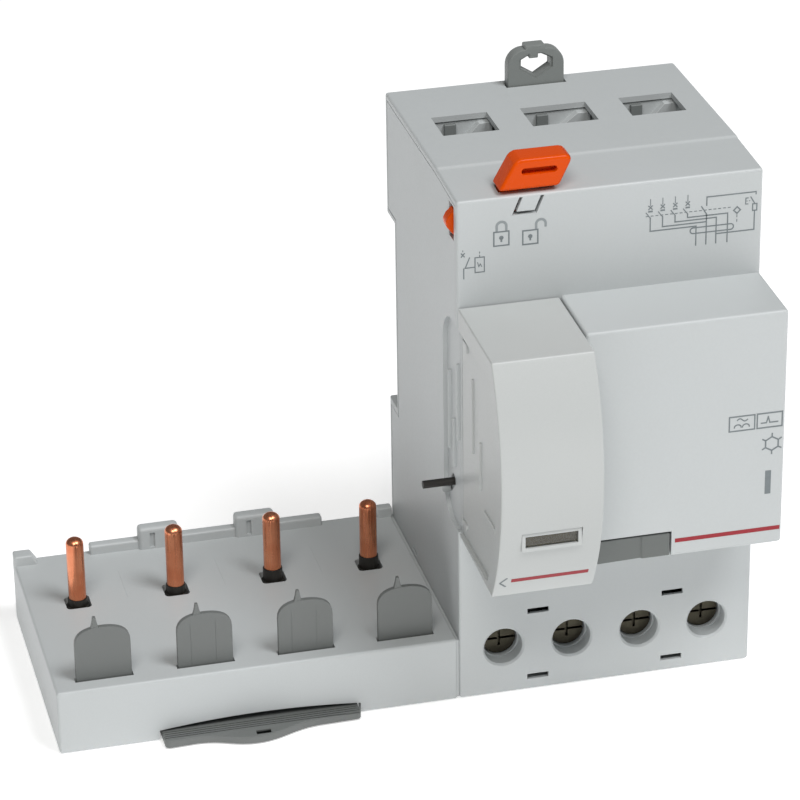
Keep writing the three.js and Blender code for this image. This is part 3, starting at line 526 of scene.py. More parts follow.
def nose_signs(body):
    """Two frames with a wave and a pulse, a six-armed frost sign, and a bar."""
    for x in ((114.6, 119.1), (119.55, 124.0)):
        frame_line(body, x, (54.1, 56.8), 0.24, NOSE_Y)
    wave = [(116.0 + i * 0.15, 56.1 + 0.25 * math.sin(i * math.pi / 6)) for i in range(13)]
    line(body, wave, 0.2, NOSE_Y)
    for foot in (115.5, 116.95):
        line(body, bow((foot + 0.6, 54.75), 0.6, 180, 0, 8, 0.85), 0.2, NOSE_Y)
    pulse = [(120.3, 55.0), (121.2, 55.0), (121.5, 56.1), (121.8, 55.0), (123.2, 55.0)]
    line(body, pulse, 0.22, NOSE_Y)
    frost, frost_mm, arm_reach = (122.3, 50.9), 1.3, 1.45
    inner = bow(frost, frost_mm, 30, 390, 6)
    line(body, inner, 0.26, NOSE_Y)
    for start, tip in list(zip(inner, bow(frost, frost_mm * arm_reach, 30, 390, 6)))[:6]:
        stroke(body, start, tip, 0.24, NOSE_Y)
    stroke(body, (121.8, 41.9), (121.8, 45.3), 1.05, NOSE_Y)


def nose_red_line(body):
    stroke(body, (105.4, 34.6), (124.2, 34.6), 0.75, NOSE_Y, lap=False)


print_on("padlock_bodies", padlock_bodies, grey_ink)
print_on("padlock_shackles", padlock_shackles, pale_ink)
print_on("wiring_scheme", wiring_scheme, grey_ink)
print_on("relay_sign", relay_sign, grey_ink)
print_on("nose_signs", nose_signs, grey_ink)
print_on("nose_red_line", nose_red_line, red_ink)


def patch_on_hood(body, x, heights, steps=3):
    """A band of ink that follows the hood's curve between two heights."""
    turns = [hood_turn(heights[0] + (heights[1] - heights[0]) * i / steps) for i in range(steps + 1)]
    rows = []
    for inset in (0.0, 2 * INK_MM):
        for turn in turns:
            y, z = on_hood(turn, inset)
            rows.append([body.verts.new(place(x[k], y, z)) for k in (0, 1)])
    outer, inner = rows[:steps + 1], rows[steps + 1:]
    for i in range(steps):
        body.faces.new((outer[i][0], outer[i][1], outer[i + 1][1], outer[i + 1][0]))
        body.faces.new((inner[i][0], inner[i + 1][0], inner[i + 1][1], inner[i][1]))
        for k in (0, 1):
            body.faces.new((outer[i][k], outer[i + 1][k], inner[i + 1][k], inner[i][k]))
    for i in (0, steps):
        body.faces.new((outer[i][0], outer[i][1], inner[i][1], inner[i][0]))


print_on("hood_red_line", lambda body: patch_on_hood(body, (74.1, 87.5), (35.45, 36.25)), red_ink)


def hood_arrow(body):
    """The open arrowhead left of the red line, in short level steps up and down."""
    for i in range(7):
        rise = 0.15 * i
        x = 72.1 + 0.16 * i
        for low in (35.55 + rise, 35.35 - rise):
            patch_on_hood(body, (x, x + 0.34), (low, low + 0.2), 1)


print_on("hood_arrow", hood_arrow, grey_ink)

# ---- Insert under the top windows ---------------------------------------------------
# A pale tub clipped under the roof with a ramp and a post in each window; the posts are
# the ends of three links. Tub: polyamide as the case; posts: the same in dark grey.
TOP_WINDOWS = [(76.0, 86.0), (92.0, 103.8), (109.9, 119.7)]
TUB_WELLS = [(75.4, 87.2), (91.2, 104.8), (109.1, 120.4)]
WELL_FLOOR, WELL_TOP, POST_SHARE = 84.9, 94.3, 0.36

tub = slab((74.25, 121.55), (25.45, 36.95), (83.65, 94.5), 0.3, 2)
tub = combine(tub, [slab(x, (26.6, 35.8), (85, 95)) for x in TUB_WELLS], "DIFFERENCE")
ramps, posts = [], []
for left, right in TOP_WINDOWS:
    split = left + (right - left) * POST_SHARE
    wall, lip = right + 0.75, right - 1.6
    ramps.append(prism(
        [(split + 1.6, WELL_FLOOR), (wall, WELL_FLOOR), (wall, WELL_TOP), (lip, WELL_TOP),
         (split + 1.6, 91.0)], "y", (34.3, 35.95), 0.1))
    posts.append(slab((split - 1.3, split + 0.8), (34.9, 35.75), (84.95, WELL_TOP), 0.15))
tub = combine(tub, ramps, "UNION")
finish_piece(tub, "window_tub", light_grey_polyamide, "block", "window_insert")
dark_grey_link = moulded_plastic("dark_grey_link", "#7C807F", "#707473", 0.45)
finish_piece(combine(posts[0], posts[1:], "UNION"), "window_posts", dark_grey_link, "block")

# ---- Locking lever ------------------------------------------------------------------
# The orange lever that locks the block to its breaker: glossy ABS in one moulding, with
# a leaning thumb head above the roof and a hooked bar that goes out through the cover.
orange_abs = moulded_plastic(
    "orange_abs", "#DA4E02", "#D44801", 0.24, grain_mm=1.5, relief_mm=0.004, fleck=0.006,
    specular=0.14)

# The outline leans right as it rises; its slot takes a fingernail or a screwdriver's tip.
head = prism(
    [(78.52, 95.92), (88.98, 95.92), (91.1, 100.3), (90.9, 101.0), (90.2, 101.37),
     (82.4, 101.37), (81.6, 101.1), (81.1, 100.5)], "y", (0.13, 5.17), 0.6)
thumb_slot = prism([*bow((88.0, 99.15), 0.6, -90, 90, 8), *bow((83.0, 99.15), 0.6, 90, 270, 8)],
                   "y", (-1, 1.6))
head = combine(head, [thumb_slot], "DIFFERENCE")
stem = slab((79.22, 82.58), (2.32, 4.78), (91, 96.15), 0.15)
hook = prism(
    [(82.57, 88.03), (82.57, 92.57), (71.5, 92.57), (70.5, 91.6), (70.0, 90.6), (70.15, 89.7),
     (71.45, 88.03)], "y", (2.33, 4.77), 0.25)
lever = combine(head, [stem, hook], "UNION")
finish_piece(lever, "thumb_lever", orange_abs, "locking_lever", "locking_lever")

# ---- Rail latch ---------------------------------------------------------------------
# The grey slide that hooks under the mounting rail: acetal, flat, with an eye at its top
# for a screwdriver tip, pushed down by a small spring of music wire.
mid_grey_acetal = moulded_plastic("mid_grey_acetal", "#858987", "#7C807E", 0.42)

LATCH_X, LATCH_Y = (92.73, 103.07), (45.83, 48.37)
LATCH_MIDDLE_X, EYE_MIDDLE_Z, EYE_FLARE = 97.9, 99.5, 1.14
LATCH_FOOT, LATCH_TOP, SHOULDER_MM = 69.63, 102.45, 3.1
latch_shoulder = [
    *bow((LATCH_X[1] - SHOULDER_MM, LATCH_TOP - SHOULDER_MM), SHOULDER_MM, 0, 90, 8),
    *bow((LATCH_X[0] + SHOULDER_MM, LATCH_TOP - SHOULDER_MM), SHOULDER_MM, 90, 180, 8)]
slide = prism([(LATCH_X[0], LATCH_FOOT), (LATCH_X[1], LATCH_FOOT), *latch_shoulder], "y",
              LATCH_Y, 0.3, 2)
eye = [(97.9, 97.2), (100.6, 98.9), (100.6, 100.5), (98.9, 101.4), (96.9, 101.4), (95.2, 100.5),
       (95.2, 98.9)]
eye_flare = [(LATCH_MIDDLE_X + (x - LATCH_MIDDLE_X) * EYE_FLARE,
              EYE_MIDDLE_Z + (z - EYE_MIDDLE_Z) * EYE_FLARE) for x, z in eye]
spring_window = slab((96.1, 99.7), (40, 50), (79.4, 93.6))
rail_chamfer = prism([(47.2, 69), (49, 69), (49, 71.4)], "x", (90, 106))
slide = combine(slide, [
    prism(eye, "y", (40, 50)), prism(eye_flare, "y", (40, LATCH_Y[0] + 0.35)),
    spring_window, rail_chamfer], "DIFFERENCE")
tooth = slab((96.6, 98.3), (LATCH_Y[0], 47.6), (100.7, 103.1), 0.2, 2)
crest = slab((95.9, 99.6), LATCH_Y, (101.6, 103.15), 0.3, 2)
slide = combine(slide, [tooth, crest], "UNION")
finish_piece(slide, "latch_slide", mid_grey_acetal, "rail_latch", "rail_latch")


HAZE_MM, MARK_DEPTH_MM = 4, 0.02


def metal(name, colour, shade, roughness, grain_mm, stretch):
    """Bare metal whose marks run upright: stretch is how many grains long they are."""
    material, tree = blank_material(name)
    spot = add_node(tree, "ShaderNodeTexCoord").outputs["Object"]
    drawn = add_node(tree, "ShaderNodeMapping", {
        "Vector": spot, "Scale": (1.0, 1.0, 1 / stretch)}).outputs["Vector"]
    marks = add_node(tree, "ShaderNodeTexNoise", {
        "Vector": drawn, "Scale": 1000 / grain_mm, "Detail": 3.0}).outputs["Fac"]
    haze = add_node(tree, "ShaderNodeTexNoise", {
        "Vector": spot, "Scale": 1000 / HAZE_MM, "Detail": 2.0}).outputs["Fac"]
    tone = add_node(tree, "ShaderNodeMix", {
        0: haze, 6: linear(shade), 7: linear(colour)}, data_type="RGBA").outputs[2]
    dull = add_node(tree, "ShaderNodeMapRange", {
        "Value": marks, "From Min": 0.3, "From Max": 0.7,
        "To Min": roughness - 0.08, "To Max": roughness + 0.1}).outputs["Result"]
    lines = add_node(tree, "ShaderNodeBump", {
        "Strength": 0.5, "Distance": MARK_DEPTH_MM / 1000,
        "Height": marks}).outputs["Normal"]
    use_shader(tree, {"Base Color": tone, "Metallic": 1.0, "Roughness": dull, "Normal": lines})
    return material


# Patented spring wire, cold drawn: a bright grey with fine marks along the wire.
music_wire = metal("music_wire", "#A3A3A0", "#8C8C8A", 0.32, 0.2, 4)


def growth_tree(name, **inputs):
    """A geometry tree with these named inputs, the finish after them."""
    tree = bpy.data.node_groups.new(name, "GeometryNodeTree")
    for title, kind in {**inputs, "Finish": "Material"}.items():
        tree.interface.new_socket(
            title.replace("_", " "), in_out="INPUT", socket_type=f"NodeSocket{kind}")
    tree.interface.new_socket("Piece", in_out="OUTPUT", socket_type="NodeSocketGeometry")
    return tree, add_node(tree, "NodeGroupInput").outputs


def end_tree(tree, shape, finish):
    real = add_node(tree, "GeometryNodeRealizeInstances", {"Geometry": shape})
    coated = add_node(tree, "GeometryNodeSetMaterial", {
        "Geometry": real.outputs["Geometry"], "Material": finish})
    add_node(tree, "NodeGroupOutput", {"Piece": coated.outputs["Geometry"]})
    return tree


def spring_tree():
    """A coil spring along z from its foot, leaned about that foot."""
    tree, given = growth_tree(
        "coil_spring", Turns="Float", Coil_radius="Float", Height="Float", Wire_radius="Float",
        Place="Vector", Lean="Vector")
    helix = add_node(tree, "GeometryNodeCurveSpiral", {
        "Resolution": 28, "Rotations": given["Turns"], "Start Radius": given["Coil radius"],
        "End Radius": given["Coil radius"], "Height": given["Height"]}).outputs["Curve"]
    section = add_node(tree, "GeometryNodeCurvePrimitiveCircle", {
        "Resolution": 10, "Radius": given["Wire radius"]}).outputs["Curve"]
    wire = add_node(tree, "GeometryNodeCurveToMesh", {
        "Curve": helix, "Profile Curve": section, "Fill Caps": True}).outputs["Mesh"]
    set_down = add_node(tree, "GeometryNodeTransform", {
        "Geometry": wire, "Translation": given["Place"], "Rotation": given["Lean"]})
    return end_tree(tree, set_down.outputs["Geometry"], given["Finish"])


def grown(tree, settings, seed_mesh=None):
    """Runs a geometry tree with its named inputs set and keeps the plain mesh."""
    seed = link_piece("seed", seed_mesh or bpy.data.meshes.new("seed"))
    step = seed.modifiers.new("growth", "NODES")
    step.node_group = tree
    for item in tree.interface.items_tree:
        if item.in_out == "INPUT" and item.name in settings:
            step[item.identifier] = settings[item.name]
    bpy.context.view_layer.update()
    ready = seed.evaluated_get(bpy.context.evaluated_depsgraph_get())
    mesh = bpy.data.meshes.new_from_object(ready)
    drop(seed)
    return link_piece("grown", mesh)


# Wire has no flat faces, so the flat-face step comes off again and each coil keeps a mesh of its
# own.
coil_springs = spring_tree()
latch_spring = grown(coil_springs, {
    "Turns": 7.0, "Coil radius": 0.00095, "Height": 0.0092, "Wire radius": 0.0002,
    "Place": place(LATCH_MIDDLE_X, 47.1, 80.0), "Finish": music_wire})
finish_piece(latch_spring, "latch_coil_spring", music_wire, "block", "rail_latch_spring")
latch_spring.modifiers.clear()
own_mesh(latch_spring)

# ---- Screw cover --------------------------------------------------------------------
# Four arched plates that stand up through the tray and cover the breaker's screws, on one
# carrier with a ridged grip below the tray's front: grey polyamide, one stiff moulding.
mid_grey_polyamide = moulded_plastic("mid_grey_polyamide", "#6E7170", "#686B69", 0.5)
PIN_X = [8.9 + POLE_PITCH * pole for pole in range(4)]
PLATE_HALF, PLATE_FOOT, PLATE_SHOULDER, PLATE_CROWN = 4.87, 10.13, 19.0, 22.17
FLUTED_PLATES = (2, 3)


def bezier(a, handle_a, handle_b, b, steps):
    """Points on a curve from a to b that leaves and arrives along its two handles."""
    knots = [Vector(point) for point in (a, handle_a, handle_b, b)]
    return [tuple(p) for p in interpolate_bezier(*knots, steps)]


def arched_plate(middle):
    """A plate with rounded shoulders and a small spike left of its middle."""
    def side(sign):
        return bezier(
            (middle + sign * PLATE_HALF, PLATE_SHOULDER),
            (middle + sign * PLATE_HALF, PLATE_CROWN - 0.6),
            (middle + sign * 2.4, PLATE_CROWN), (middle, PLATE_CROWN), 10)
    outline = [(middle - PLATE_HALF, PLATE_FOOT), (middle + PLATE_HALF, PLATE_FOOT),
               *side(1), *side(-1)[-2::-1]]
    plate = prism(outline, "y", (3.23, 4.17), 0.12, 2)
    spike = [(middle - 2.2, 21), (middle - 0.2, 21), (middle - 0.75, 22.9), (middle - 0.95, 24.1),
             (middle - 1.45, 24.1), (middle - 1.65, 22.9)]
    return combine(plate, [prism(spike, "y", (3.33, 4.07), 0.1, 2)], "UNION")


for number, x in enumerate(PIN_X, 1):
    plate = arched_plate(x)
    if number in FLUTED_PLATES:
        flutes = [slab((x + side - 0.05, x + side + 0.05), (3.1, 3.27), (12.4, 20.4))
                  for side in (-2.5, 1.9)]
        plate = combine(plate, flutes, "DIFFERENCE")
    finish_piece(plate, f"arched_plate_{number}", mid_grey_polyamide, "screw_cover",
                 f"screw_cover_plate_{number}")

# The grip is a thin lip with a bulged front edge, ribbed for the finger; a slot near the
# bulge's tip opens into a hollow. A web joins it to the carrier bar under the plates.
GRIP_X, GRIP_BACK, GRIP_Z = (17.93, 52.87), 6.35, (0.13, 1.67)
front_edge = [
    *bezier((GRIP_X[0], -2.6), (18.0, -3.2), (18.5, -3.27), (19.1, -3.27), 6),
    *bezier((23.4, -3.07), (28.4, -3.17), (29.4, -5.57), (33.9, -5.57), 14),
    *bezier((33.9, -5.57), (38.4, -5.57), (40.4, -2.87), (45.4, -2.57), 14)[1:],
    *bezier((52.2, -2.37), (52.6, -2.35), (GRIP_X[1], -2.1), (GRIP_X[1], -1.6), 6)]
grip = prism([(GRIP_X[0], GRIP_BACK), *front_edge, (GRIP_X[1], GRIP_BACK)], "z", GRIP_Z, 0.3, 2)
carrier_bar = slab((3.83, 67.37), (2.33, 6.37), (7.23, 9.77), 0.3, 2)
web = slab((20, 50.8), (2.53, 5.87), (1.4, 7.5))
grip = combine(grip, [carrier_bar, web], "UNION")
ribs = [slab((GRIP_X[0] - 1, GRIP_X[1] + 1), (y - 0.15, y + 0.15), (1.4, 2))
        for y in (-0.35, -1.0, -1.65, -2.25)]
tip_slot = slab((33.7, 36.3), (-5.0, -3.75), (1.2, 3))
tip_hollow = slab((33.4, 36.6), (-5.0, -2.7), (0.4, 1.4))
grip = combine(grip, [*ribs, tip_slot, tip_hollow], "DIFFERENCE")
finish_piece(grip, "grip", mid_grey_polyamide, "screw_cover", "screw_cover_carrier")

# ---- Load conductors ----------------------------------------------------------------
# Four drawn copper rods, each bent from its pin on the tray, under the breaker and through
# the current transformer down to a flat tongue at its terminal; the pin's tip is domed.
ROD_RADIUS = 1.57
PIN_Y, PIN_TOP, RUN_Z = 30.7, 25.17, 6
DOME_STATIONS = (0, 0.04, 0.12, 0.25, 0.45, 0.7, 1.0, 1.4)
RUN_Y = [45, 41.5, 38, 34.5]
RISE_MAX_Y, JOG_Z, CREST_Z = 38, 28, 50
CORE_X, CORE_PITCH = 99.0, 4.4
TERMINAL_Y, TERMINAL_TOP = 13.9, 15
FAN_FROM_Z, FAN_TO_Z = [45, 42, 39, 36], [26, 24, 22, 22]
TONGUE_HALF, TONGUE_Y, TONGUE_Z = 2.97, (13.33, 14.47), (4.23, 17)


def rod_tree():
    """A round rod along the input line: bends at the corners and a dome at the start."""
    tree, given = growth_tree(
        "bent_rod", Line="Geometry", Radius="Float", Bend="Float", Dome="Float")
    path = add_node(tree, "GeometryNodeMeshToCurve", {"Mesh": given["Line"]}).outputs["Curve"]
    bent = add_node(tree, "GeometryNodeFilletCurve", {
        "Curve": path, "Radius": given["Bend"], "Count": 8}, mode="POLY").outputs["Curve"]
    # Over the dome's length the thickness follows a circle: sqrt(1.02 - (1 - along / dome)^2).
    # The 0.02 over one leaves the very tip a small flat instead of a pole.
    value = add_node(tree, "GeometryNodeSplineParameter").outputs["Length"]
    for operation, first, second in (
            ("DIVIDE", None, given["Dome"]), ("MINIMUM", None, 1.0), ("SUBTRACT", 1.0, None),
            ("POWER", None, 2.0), ("SUBTRACT", 1.02, None), ("POWER", None, 0.5),
            ("MINIMUM", None, 1.0)):
        terms = {0: value if first is None else first, 1: value if second is None else second}
        value = add_node(tree, "ShaderNodeMath", terms, operation=operation).outputs[0]
    section = add_node(tree, "GeometryNodeCurvePrimitiveCircle", {
        "Resolution": 28, "Radius": given["Radius"]}).outputs["Curve"]
    sweep = add_node(tree, "GeometryNodeCurveToMesh", {
        "Curve": bent, "Profile Curve": section, "Scale": value, "Fill Caps": True})
    return end_tree(tree, sweep.outputs["Mesh"], given["Finish"])


# Drawn copper, slightly browned by handling: warm streaks along the rod.
drawn_copper = metal("drawn_copper", "#F2A680", "#C66A46", 0.28, 0.5, 14)
rods = rod_tree()
for pole, x in enumerate(PIN_X):
    core_x, end_x, run_y = CORE_X + pole * CORE_PITCH, SCREW_X[pole], RUN_Y[pole]
    rise_y = min(run_y, RISE_MAX_Y)
    stops = [*[(x, PIN_Y, PIN_TOP - station) for station in DOME_STATIONS],
             (x, PIN_Y, RUN_Z), (x, run_y, RUN_Z), (core_x, run_y, RUN_Z)]
    if rise_y < run_y:
        stops += [(core_x, run_y, JOG_Z), (core_x, rise_y, JOG_Z)]
    stops += [(core_x, rise_y, CREST_Z), (core_x, TERMINAL_Y, CREST_Z),
              (core_x, TERMINAL_Y, FAN_FROM_Z[pole]), (end_x, TERMINAL_Y, FAN_TO_Z[pole]),
              (end_x, TERMINAL_Y, TERMINAL_TOP)]
    path = bpy.data.meshes.new("path")
    path.from_pydata([place(*stop) for stop in stops],
                     [(i, i + 1) for i in range(len(stops) - 1)], [])
    rod = grown(rods, {"Radius": ROD_RADIUS / 1000, "Bend": 0.0018, "Dome": 0.0012,
                       "Finish": drawn_copper}, path)
    tongue = slab((end_x - TONGUE_HALF, end_x + TONGUE_HALF), TONGUE_Y, TONGUE_Z, 0.2, 2)
    conductor = combine(rod, [tongue], "UNION")
    finish_piece(conductor, f"copper_rod_{pole + 1}", drawn_copper, "block",
                 f"load_conductor_{pole + 1}")

# Each pin stands in a black sleeve: polyamide, moulded smooth, so it gleams only at its edges. Its
# wide collar fills the pin's hole in the tray, so its black is also painted shade for the dark of
# the hole. Each ring is (radius, height).
black_polyamide = moulded_plastic("black_polyamide", "#211E1A", "#191612", 0.5)
SLEEVE_TOPS = (13.2, 13.4, 14.17, 14.17)
SLEEVE_SIDES = 28
for number, (x, top) in enumerate(zip(PIN_X, SLEEVE_TOPS), 1):
    sleeve = bmesh.new()
    # The first rings make the collar, painted shade down in the tray's hole.
    rings = [(1.6, 8.33), (2.06, 8.33), (2.06, 11.6), (1.8, 11.75), (1.76, top - 0.15),
             (1.68, top), (1.6, top)]
    turns = [side * math.tau / SLEEVE_SIDES for side in range(SLEEVE_SIDES)]
    loops = [[sleeve.verts.new(place(x + r * math.cos(t), PIN_Y + r * math.sin(t), z))
              for t in turns] for r, z in rings]
    for k, loop in enumerate(loops):
        after = loops[(k + 1) % len(loops)]
        for i in range(SLEEVE_SIDES):
            sleeve.faces.new((loop[i - 1], loop[i], after[i], after[i - 1]))
    bmesh.ops.recalc_face_normals(sleeve, faces=sleeve.faces)
    finish_piece(piece_from(sleeve, "sleeve"), f"black_sleeve_{number}", black_polyamide, "block",
                 f"pin_sleeve_{number}")

# ---- Terminals ----------------------------------------------------------------------
# Each clamp is a folded steel cage pulled up by a screw deep in a round shaft. The screws
# are zinc-plated steel; a shallow slot crosses the head, with a shorter one across it.
SLOT_REACH, CROSS_REACH, SLOT_LIFT = 2.4, 1.0, -0.82


def screw_tree():
    """A clamp screw along y: a head with its two slots, and its shank. Sizes in shares of the
    head: how far each slot reaches (of its radius) and where its cutter sits (of its height)."""
    tree, given = growth_tree(
        "clamp_screw", Head_radius="Float", Head_height="Float", Shank_radius="Float",
        Shank_length="Float", Slot_width="Float", Place="Vector")

    def times(value, share):
        return add_node(tree, "ShaderNodeMath", {0: value, 1: share},
                        operation="MULTIPLY").outputs[0]

    head = add_node(tree, "GeometryNodeMeshCylinder", {
        "Vertices": 40, "Radius": given["Head radius"], "Depth": given["Head height"]})
    shank = add_node(tree, "GeometryNodeMeshCylinder", {
        "Vertices": 28, "Radius": given["Shank radius"], "Depth": given["Shank length"]})
    below = add_node(tree, "ShaderNodeCombineXYZ", {
        "Z": times(given["Shank length"], 0.5)}).outputs["Vector"]
    set_back = add_node(tree, "GeometryNodeTransform", {
        "Geometry": shank.outputs["Mesh"], "Translation": below}).outputs["Geometry"]
    solid = add_node(tree, "GeometryNodeMeshBoolean", {"Mesh": head.outputs["Mesh"]},
                     operation="UNION")
    tree.links.new(set_back, solid.inputs["Mesh 2"])
    above = add_node(tree, "ShaderNodeCombineXYZ", {
        "Z": times(given["Head height"], SLOT_LIFT)}).outputs["Vector"]
    cuts = []
    for size_x, size_y in ((times(given["Head radius"], SLOT_REACH), given["Slot width"]),
                           (given["Slot width"], times(given["Head radius"], CROSS_REACH))):
        size = add_node(tree, "ShaderNodeCombineXYZ", {
            "X": size_x, "Y": size_y, "Z": given["Head height"]}).outputs["Vector"]
        cube = add_node(tree, "GeometryNodeMeshCube", {"Size": size}).outputs["Mesh"]
        cuts.append(add_node(tree, "GeometryNodeTransform", {
            "Geometry": cube, "Translation": above}).outputs["Geometry"])
    slotted = add_node(tree, "GeometryNodeMeshBoolean", {
        "Mesh 1": solid.outputs["Mesh"]}, operation="DIFFERENCE")
    for piece in cuts:
        tree.links.new(piece, slotted.inputs["Mesh 2"])
    turned = add_node(tree, "GeometryNodeTransform", {
        "Geometry": slotted.outputs["Mesh"], "Translation": given["Place"],
        "Rotation": (-math.pi / 2, 0.0, 0.0)})
    return end_tree(tree, turned.outputs["Geometry"], given["Finish"])


# Zinc-plated steel, passivated, with a faint yellow haze, duller where it is turned; its grey is
# darkened well below plating's, painted shade for the screw's place deep in its shaft.
zinc_plated_steel_painted_dark = metal("zinc_plated_steel_painted_dark", "#575347", "#34322B", 0.42, 0.4, 2)
screws = screw_tree()
# The screw heads' dark colour is painted shade of the shaft they sit in.
for number, x in enumerate(SCREW_X, 1):
    screw = grown(screws, {
        "Head radius": 0.00297, "Head height": 0.0038, "Shank radius": 0.00232,
        "Shank length": 0.0066, "Slot width": 0.00045, "Place": place(x, 5.3, SCREW_Z),
        "Finish": zinc_plated_steel_painted_dark})
    finish_piece(screw, f"clamp_screw_{number}", zinc_plated_steel_painted_dark, f"terminal_screw_{number}",
                 f"terminal_screw_{number}")
    rim = screw.modifiers.new("turned_edge", "BEVEL")
    rim.width, rim.segments, rim.limit_method = 0.00025, 2, "ANGLE"
    rim.angle_limit = math.radians(50)


def refinish(material, *nodes):
    """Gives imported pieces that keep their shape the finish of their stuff."""
    for node in nodes:
        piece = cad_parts[node]
        piece.data.materials.clear()
        piece.data.materials.append(material)


# Galvanised sheet: duller and greyer than plating, with a faint bloom.
galvanised_steel = metal("galvanised_steel", "#8F918F", "#7B7D7B", 0.42, 0.8, 3)
refinish(galvanised_steel, *[f"terminal_cage_{number}" for number in (1, 2, 3, 4)])
refinish(black_polyamide, "terminal_carrier")

# ---- Test button --------------------------------------------------------------------
# The grey push button in the nose's lower edge, faceted to a ridge down its middle; a
# spring holds it out and its stem closes a copper contact through a resistor.
# Acetal again, but darker and a little waxier than the latch, because fingers polish it.
button_acetal = moulded_plastic("button_grey_acetal", "#646866", "#5E6260", 0.4)
BUTTON_X, BUTTON_Y = (91.63, 104.47), (-15.07, -10.63)
STEM_X, STEM_Z, STEM_RADIUS = 98.1, 34.9, 1.08
button_plan = [(BUTTON_X[0], BUTTON_Y[0]), (99.3, -14.75), (99.5, BUTTON_Y[0]),
               (BUTTON_X[1], BUTTON_Y[0]), (BUTTON_X[1], BUTTON_Y[1]), (BUTTON_X[0], BUTTON_Y[1])]
button = prism(button_plan, "z", (31.93, 36.17), 0.18, 2)
button_stem = cone(STEM_X, STEM_Z, (-10.75, -1.43), (STEM_RADIUS, STEM_RADIUS), 28)
button = combine(button, [button_stem], "UNION")
finish_piece(button, "push_button", button_acetal, "test_button", "test_button")

button_spring = grown(coil_springs, {
    "Turns": 6.0, "Coil radius": 0.0015, "Height": 0.0066, "Wire radius": 0.00019,
    "Place": place(STEM_X, -10.1, STEM_Z), "Lean": (-math.pi / 2, 0.0, 0.0),
    "Finish": music_wire})
finish_piece(button_spring, "button_coil_spring", music_wire, "block", "test_button_spring")
button_spring.modifiers.clear()
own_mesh(button_spring)
refinish(drawn_copper, "test_contact")
refinish(black_polyamide, "test_resistor")

# ---- Transformer and circuit board --------------------------------------------------
# The summing transformer round the four rods, in its cradle, and the board that reads it:
# its parts and leads are set in black polyamide. All inside the case.
# Nanocrystalline core in its epoxy dip: dark blue-grey, slightly orange-peeled.
dipped_core = moulded_plastic("dipped_core", "#3A3D42", "#32353A", 0.4, 0.9, 0.03)
# Enamelled copper wire: redder and glossier than the bare rods.
enamelled_wire = metal("enamelled_wire", "#B4623C", "#8F4628", 0.28, 0.25, 3)
# Glass-epoxy laminate under green solder resist: smooth, with the weave showing faintly.
green_laminate = moulded_plastic("green_laminate", "#2E6442", "#275539", 0.35, 0.5, 0.006)
refinish(dipped_core, "transformer_core")
refinish(enamelled_wire, "sense_winding")
refinish(green_laminate, "circuit_board")
refinish(black_polyamide, "core_cradle", "board_components", "board_lead", "relay_lead")

# ---- Relay and trip lever -----------------------------------------------------------
# A relay's plunger swings the black trip lever on its shaft in a sheet frame; the lever's pin
# trips the breaker. A thin grey arc on it closes the pin's slot at every angle.
# Relay, plunger and shaft: steel, ground and hardened, bright with fine straight marks.
ground_steel = metal("ground_steel", "#9C9C98", "#878783", 0.3, 0.3, 8)
refinish(ground_steel, "trip_relay", "relay_plunger", "lever_shaft")
refinish(galvanised_steel, "mechanism_frame")
refinish(black_polyamide, "trip_lever")

SHAFT_YZ, SHUTTER_RADII, SHUTTER_DEG, SHUTTER_X = (18, 52), (17.9, 15.2), (206, 248), (73.05, 73.65)
outer = bow(SHAFT_YZ, SHUTTER_RADII[0], *SHUTTER_DEG, 14)
inner = bow(SHAFT_YZ, SHUTTER_RADII[1], *SHUTTER_DEG[::-1], 14)
finish_piece(prism([*outer, *inner], "x", SHUTTER_X), "pin_shutter", light_grey_polyamide,
             "trip_lever")

# ---- Studio -------------------------------------------------------------------------
# A white sweep that glows a little, so that it stays white under soft light, and two
# round softboxes in front, left and right; the shadows fall behind on both sides.
FLOOR_HALF, FLOOR_GAP = 6, 0.0001
floor_z = Vector(cad_box[0]).z - FLOOR_GAP
floor_mesh = bpy.data.meshes.new("floor")
floor_mesh.from_pydata(
    [(x * FLOOR_HALF, y * FLOOR_HALF, floor_z) for x, y in ((-1, -1), (1, -1), (1, 1), (-1, 1))],
    [], [(0, 1, 2, 3)])
floor = link_piece("floor", floor_mesh)
white_paper, tree = blank_material("white_paper")
use_shader(tree, {"Base Color": linear("#FFFFFF"), "Roughness": 0.9,
                  "Emission Color": linear("#FFFFFF"), "Emission Strength": 0.35})
floor.data.materials.append(white_paper)

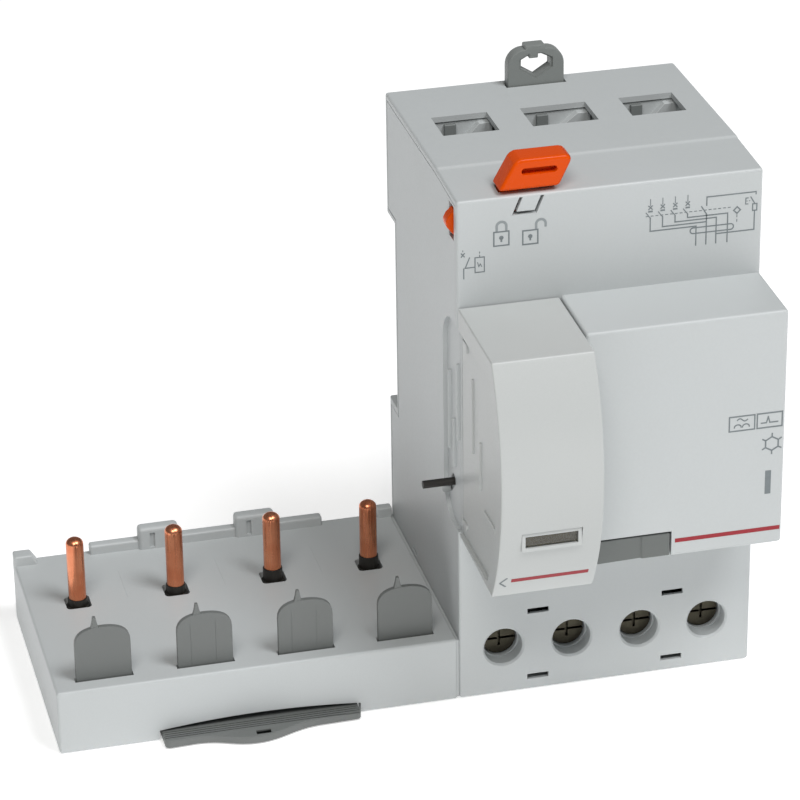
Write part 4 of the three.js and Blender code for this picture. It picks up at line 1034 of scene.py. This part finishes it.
world = bpy.data.worlds.new("studio_air")
world.use_nodes = True
air = world.node_tree.nodes["Background"].inputs
air["Color"].default_value = linear("#F6F9FB")
air["Strength"].default_value = 0.21
bpy.context.scene.world = world
bpy.context.scene.view_settings.view_transform = "Standard"

# Lamps and camera stand round this point, near the middle of the device.
AIM = Vector((-0.0319, -0.0240, -0.0037))
SOFTBOX_DISTANCE, SOFTBOX_WIDTH = 1.4, 0.6


def toward(azimuth_deg, elevation_deg):
    """The direction from the device; azimuth 0 is straight in front and grows to the right."""
    turn, rise = math.radians(azimuth_deg), math.radians(elevation_deg)
    return Vector((
        math.sin(turn) * math.cos(rise), -math.cos(turn) * math.cos(rise), math.sin(rise)))


def softbox(name, azimuth_deg, elevation_deg, watts, tint):
    away = toward(azimuth_deg, elevation_deg)
    lamp = bpy.data.lights.new(name, "AREA")
    lamp.shape = "DISK"
    lamp.size = SOFTBOX_WIDTH
    lamp.energy = watts
    lamp.color = linear(tint)[:3]
    holder = bpy.data.objects.new(name, lamp)
    holder.location = AIM + away * SOFTBOX_DISTANCE
    holder.rotation_euler = away.to_track_quat("Z", "Y").to_euler()
    bpy.context.scene.collection.objects.link(holder)


softbox("left_softbox", -22, 53, 7.7, "#FFFCF8")
softbox("right_softbox", 40, 58, 11.1, "#FCFDFF")

CAMERA_AZIMUTH, CAMERA_ELEVATION, CAMERA_ROLL = -13.62, 26.29, -0.84
CAMERA_DISTANCE, LENS_MM, SENSOR_MM, NEAR_CLIP = 0.6511, 167.7, 36, 0.05
turn, roll = math.radians(CAMERA_AZIMUTH), math.radians(CAMERA_ROLL)
back = toward(CAMERA_AZIMUTH, CAMERA_ELEVATION)
level = Vector((math.cos(turn), math.sin(turn), 0))
upward = back.cross(level)
right = level * math.cos(roll) + upward * math.sin(roll)
up = upward * math.cos(roll) - level * math.sin(roll)
optics = bpy.data.cameras.new("camera")
optics.lens, optics.sensor_width, optics.clip_start = LENS_MM, SENSOR_MM, NEAR_CLIP
camera = bpy.data.objects.new("camera", optics)
stand = Matrix((right, up, back)).transposed().to_4x4()
stand.translation = AIM + back * CAMERA_DISTANCE
camera.matrix_world = stand
bpy.context.scene.collection.objects.link(camera)
bpy.context.scene.camera = camera
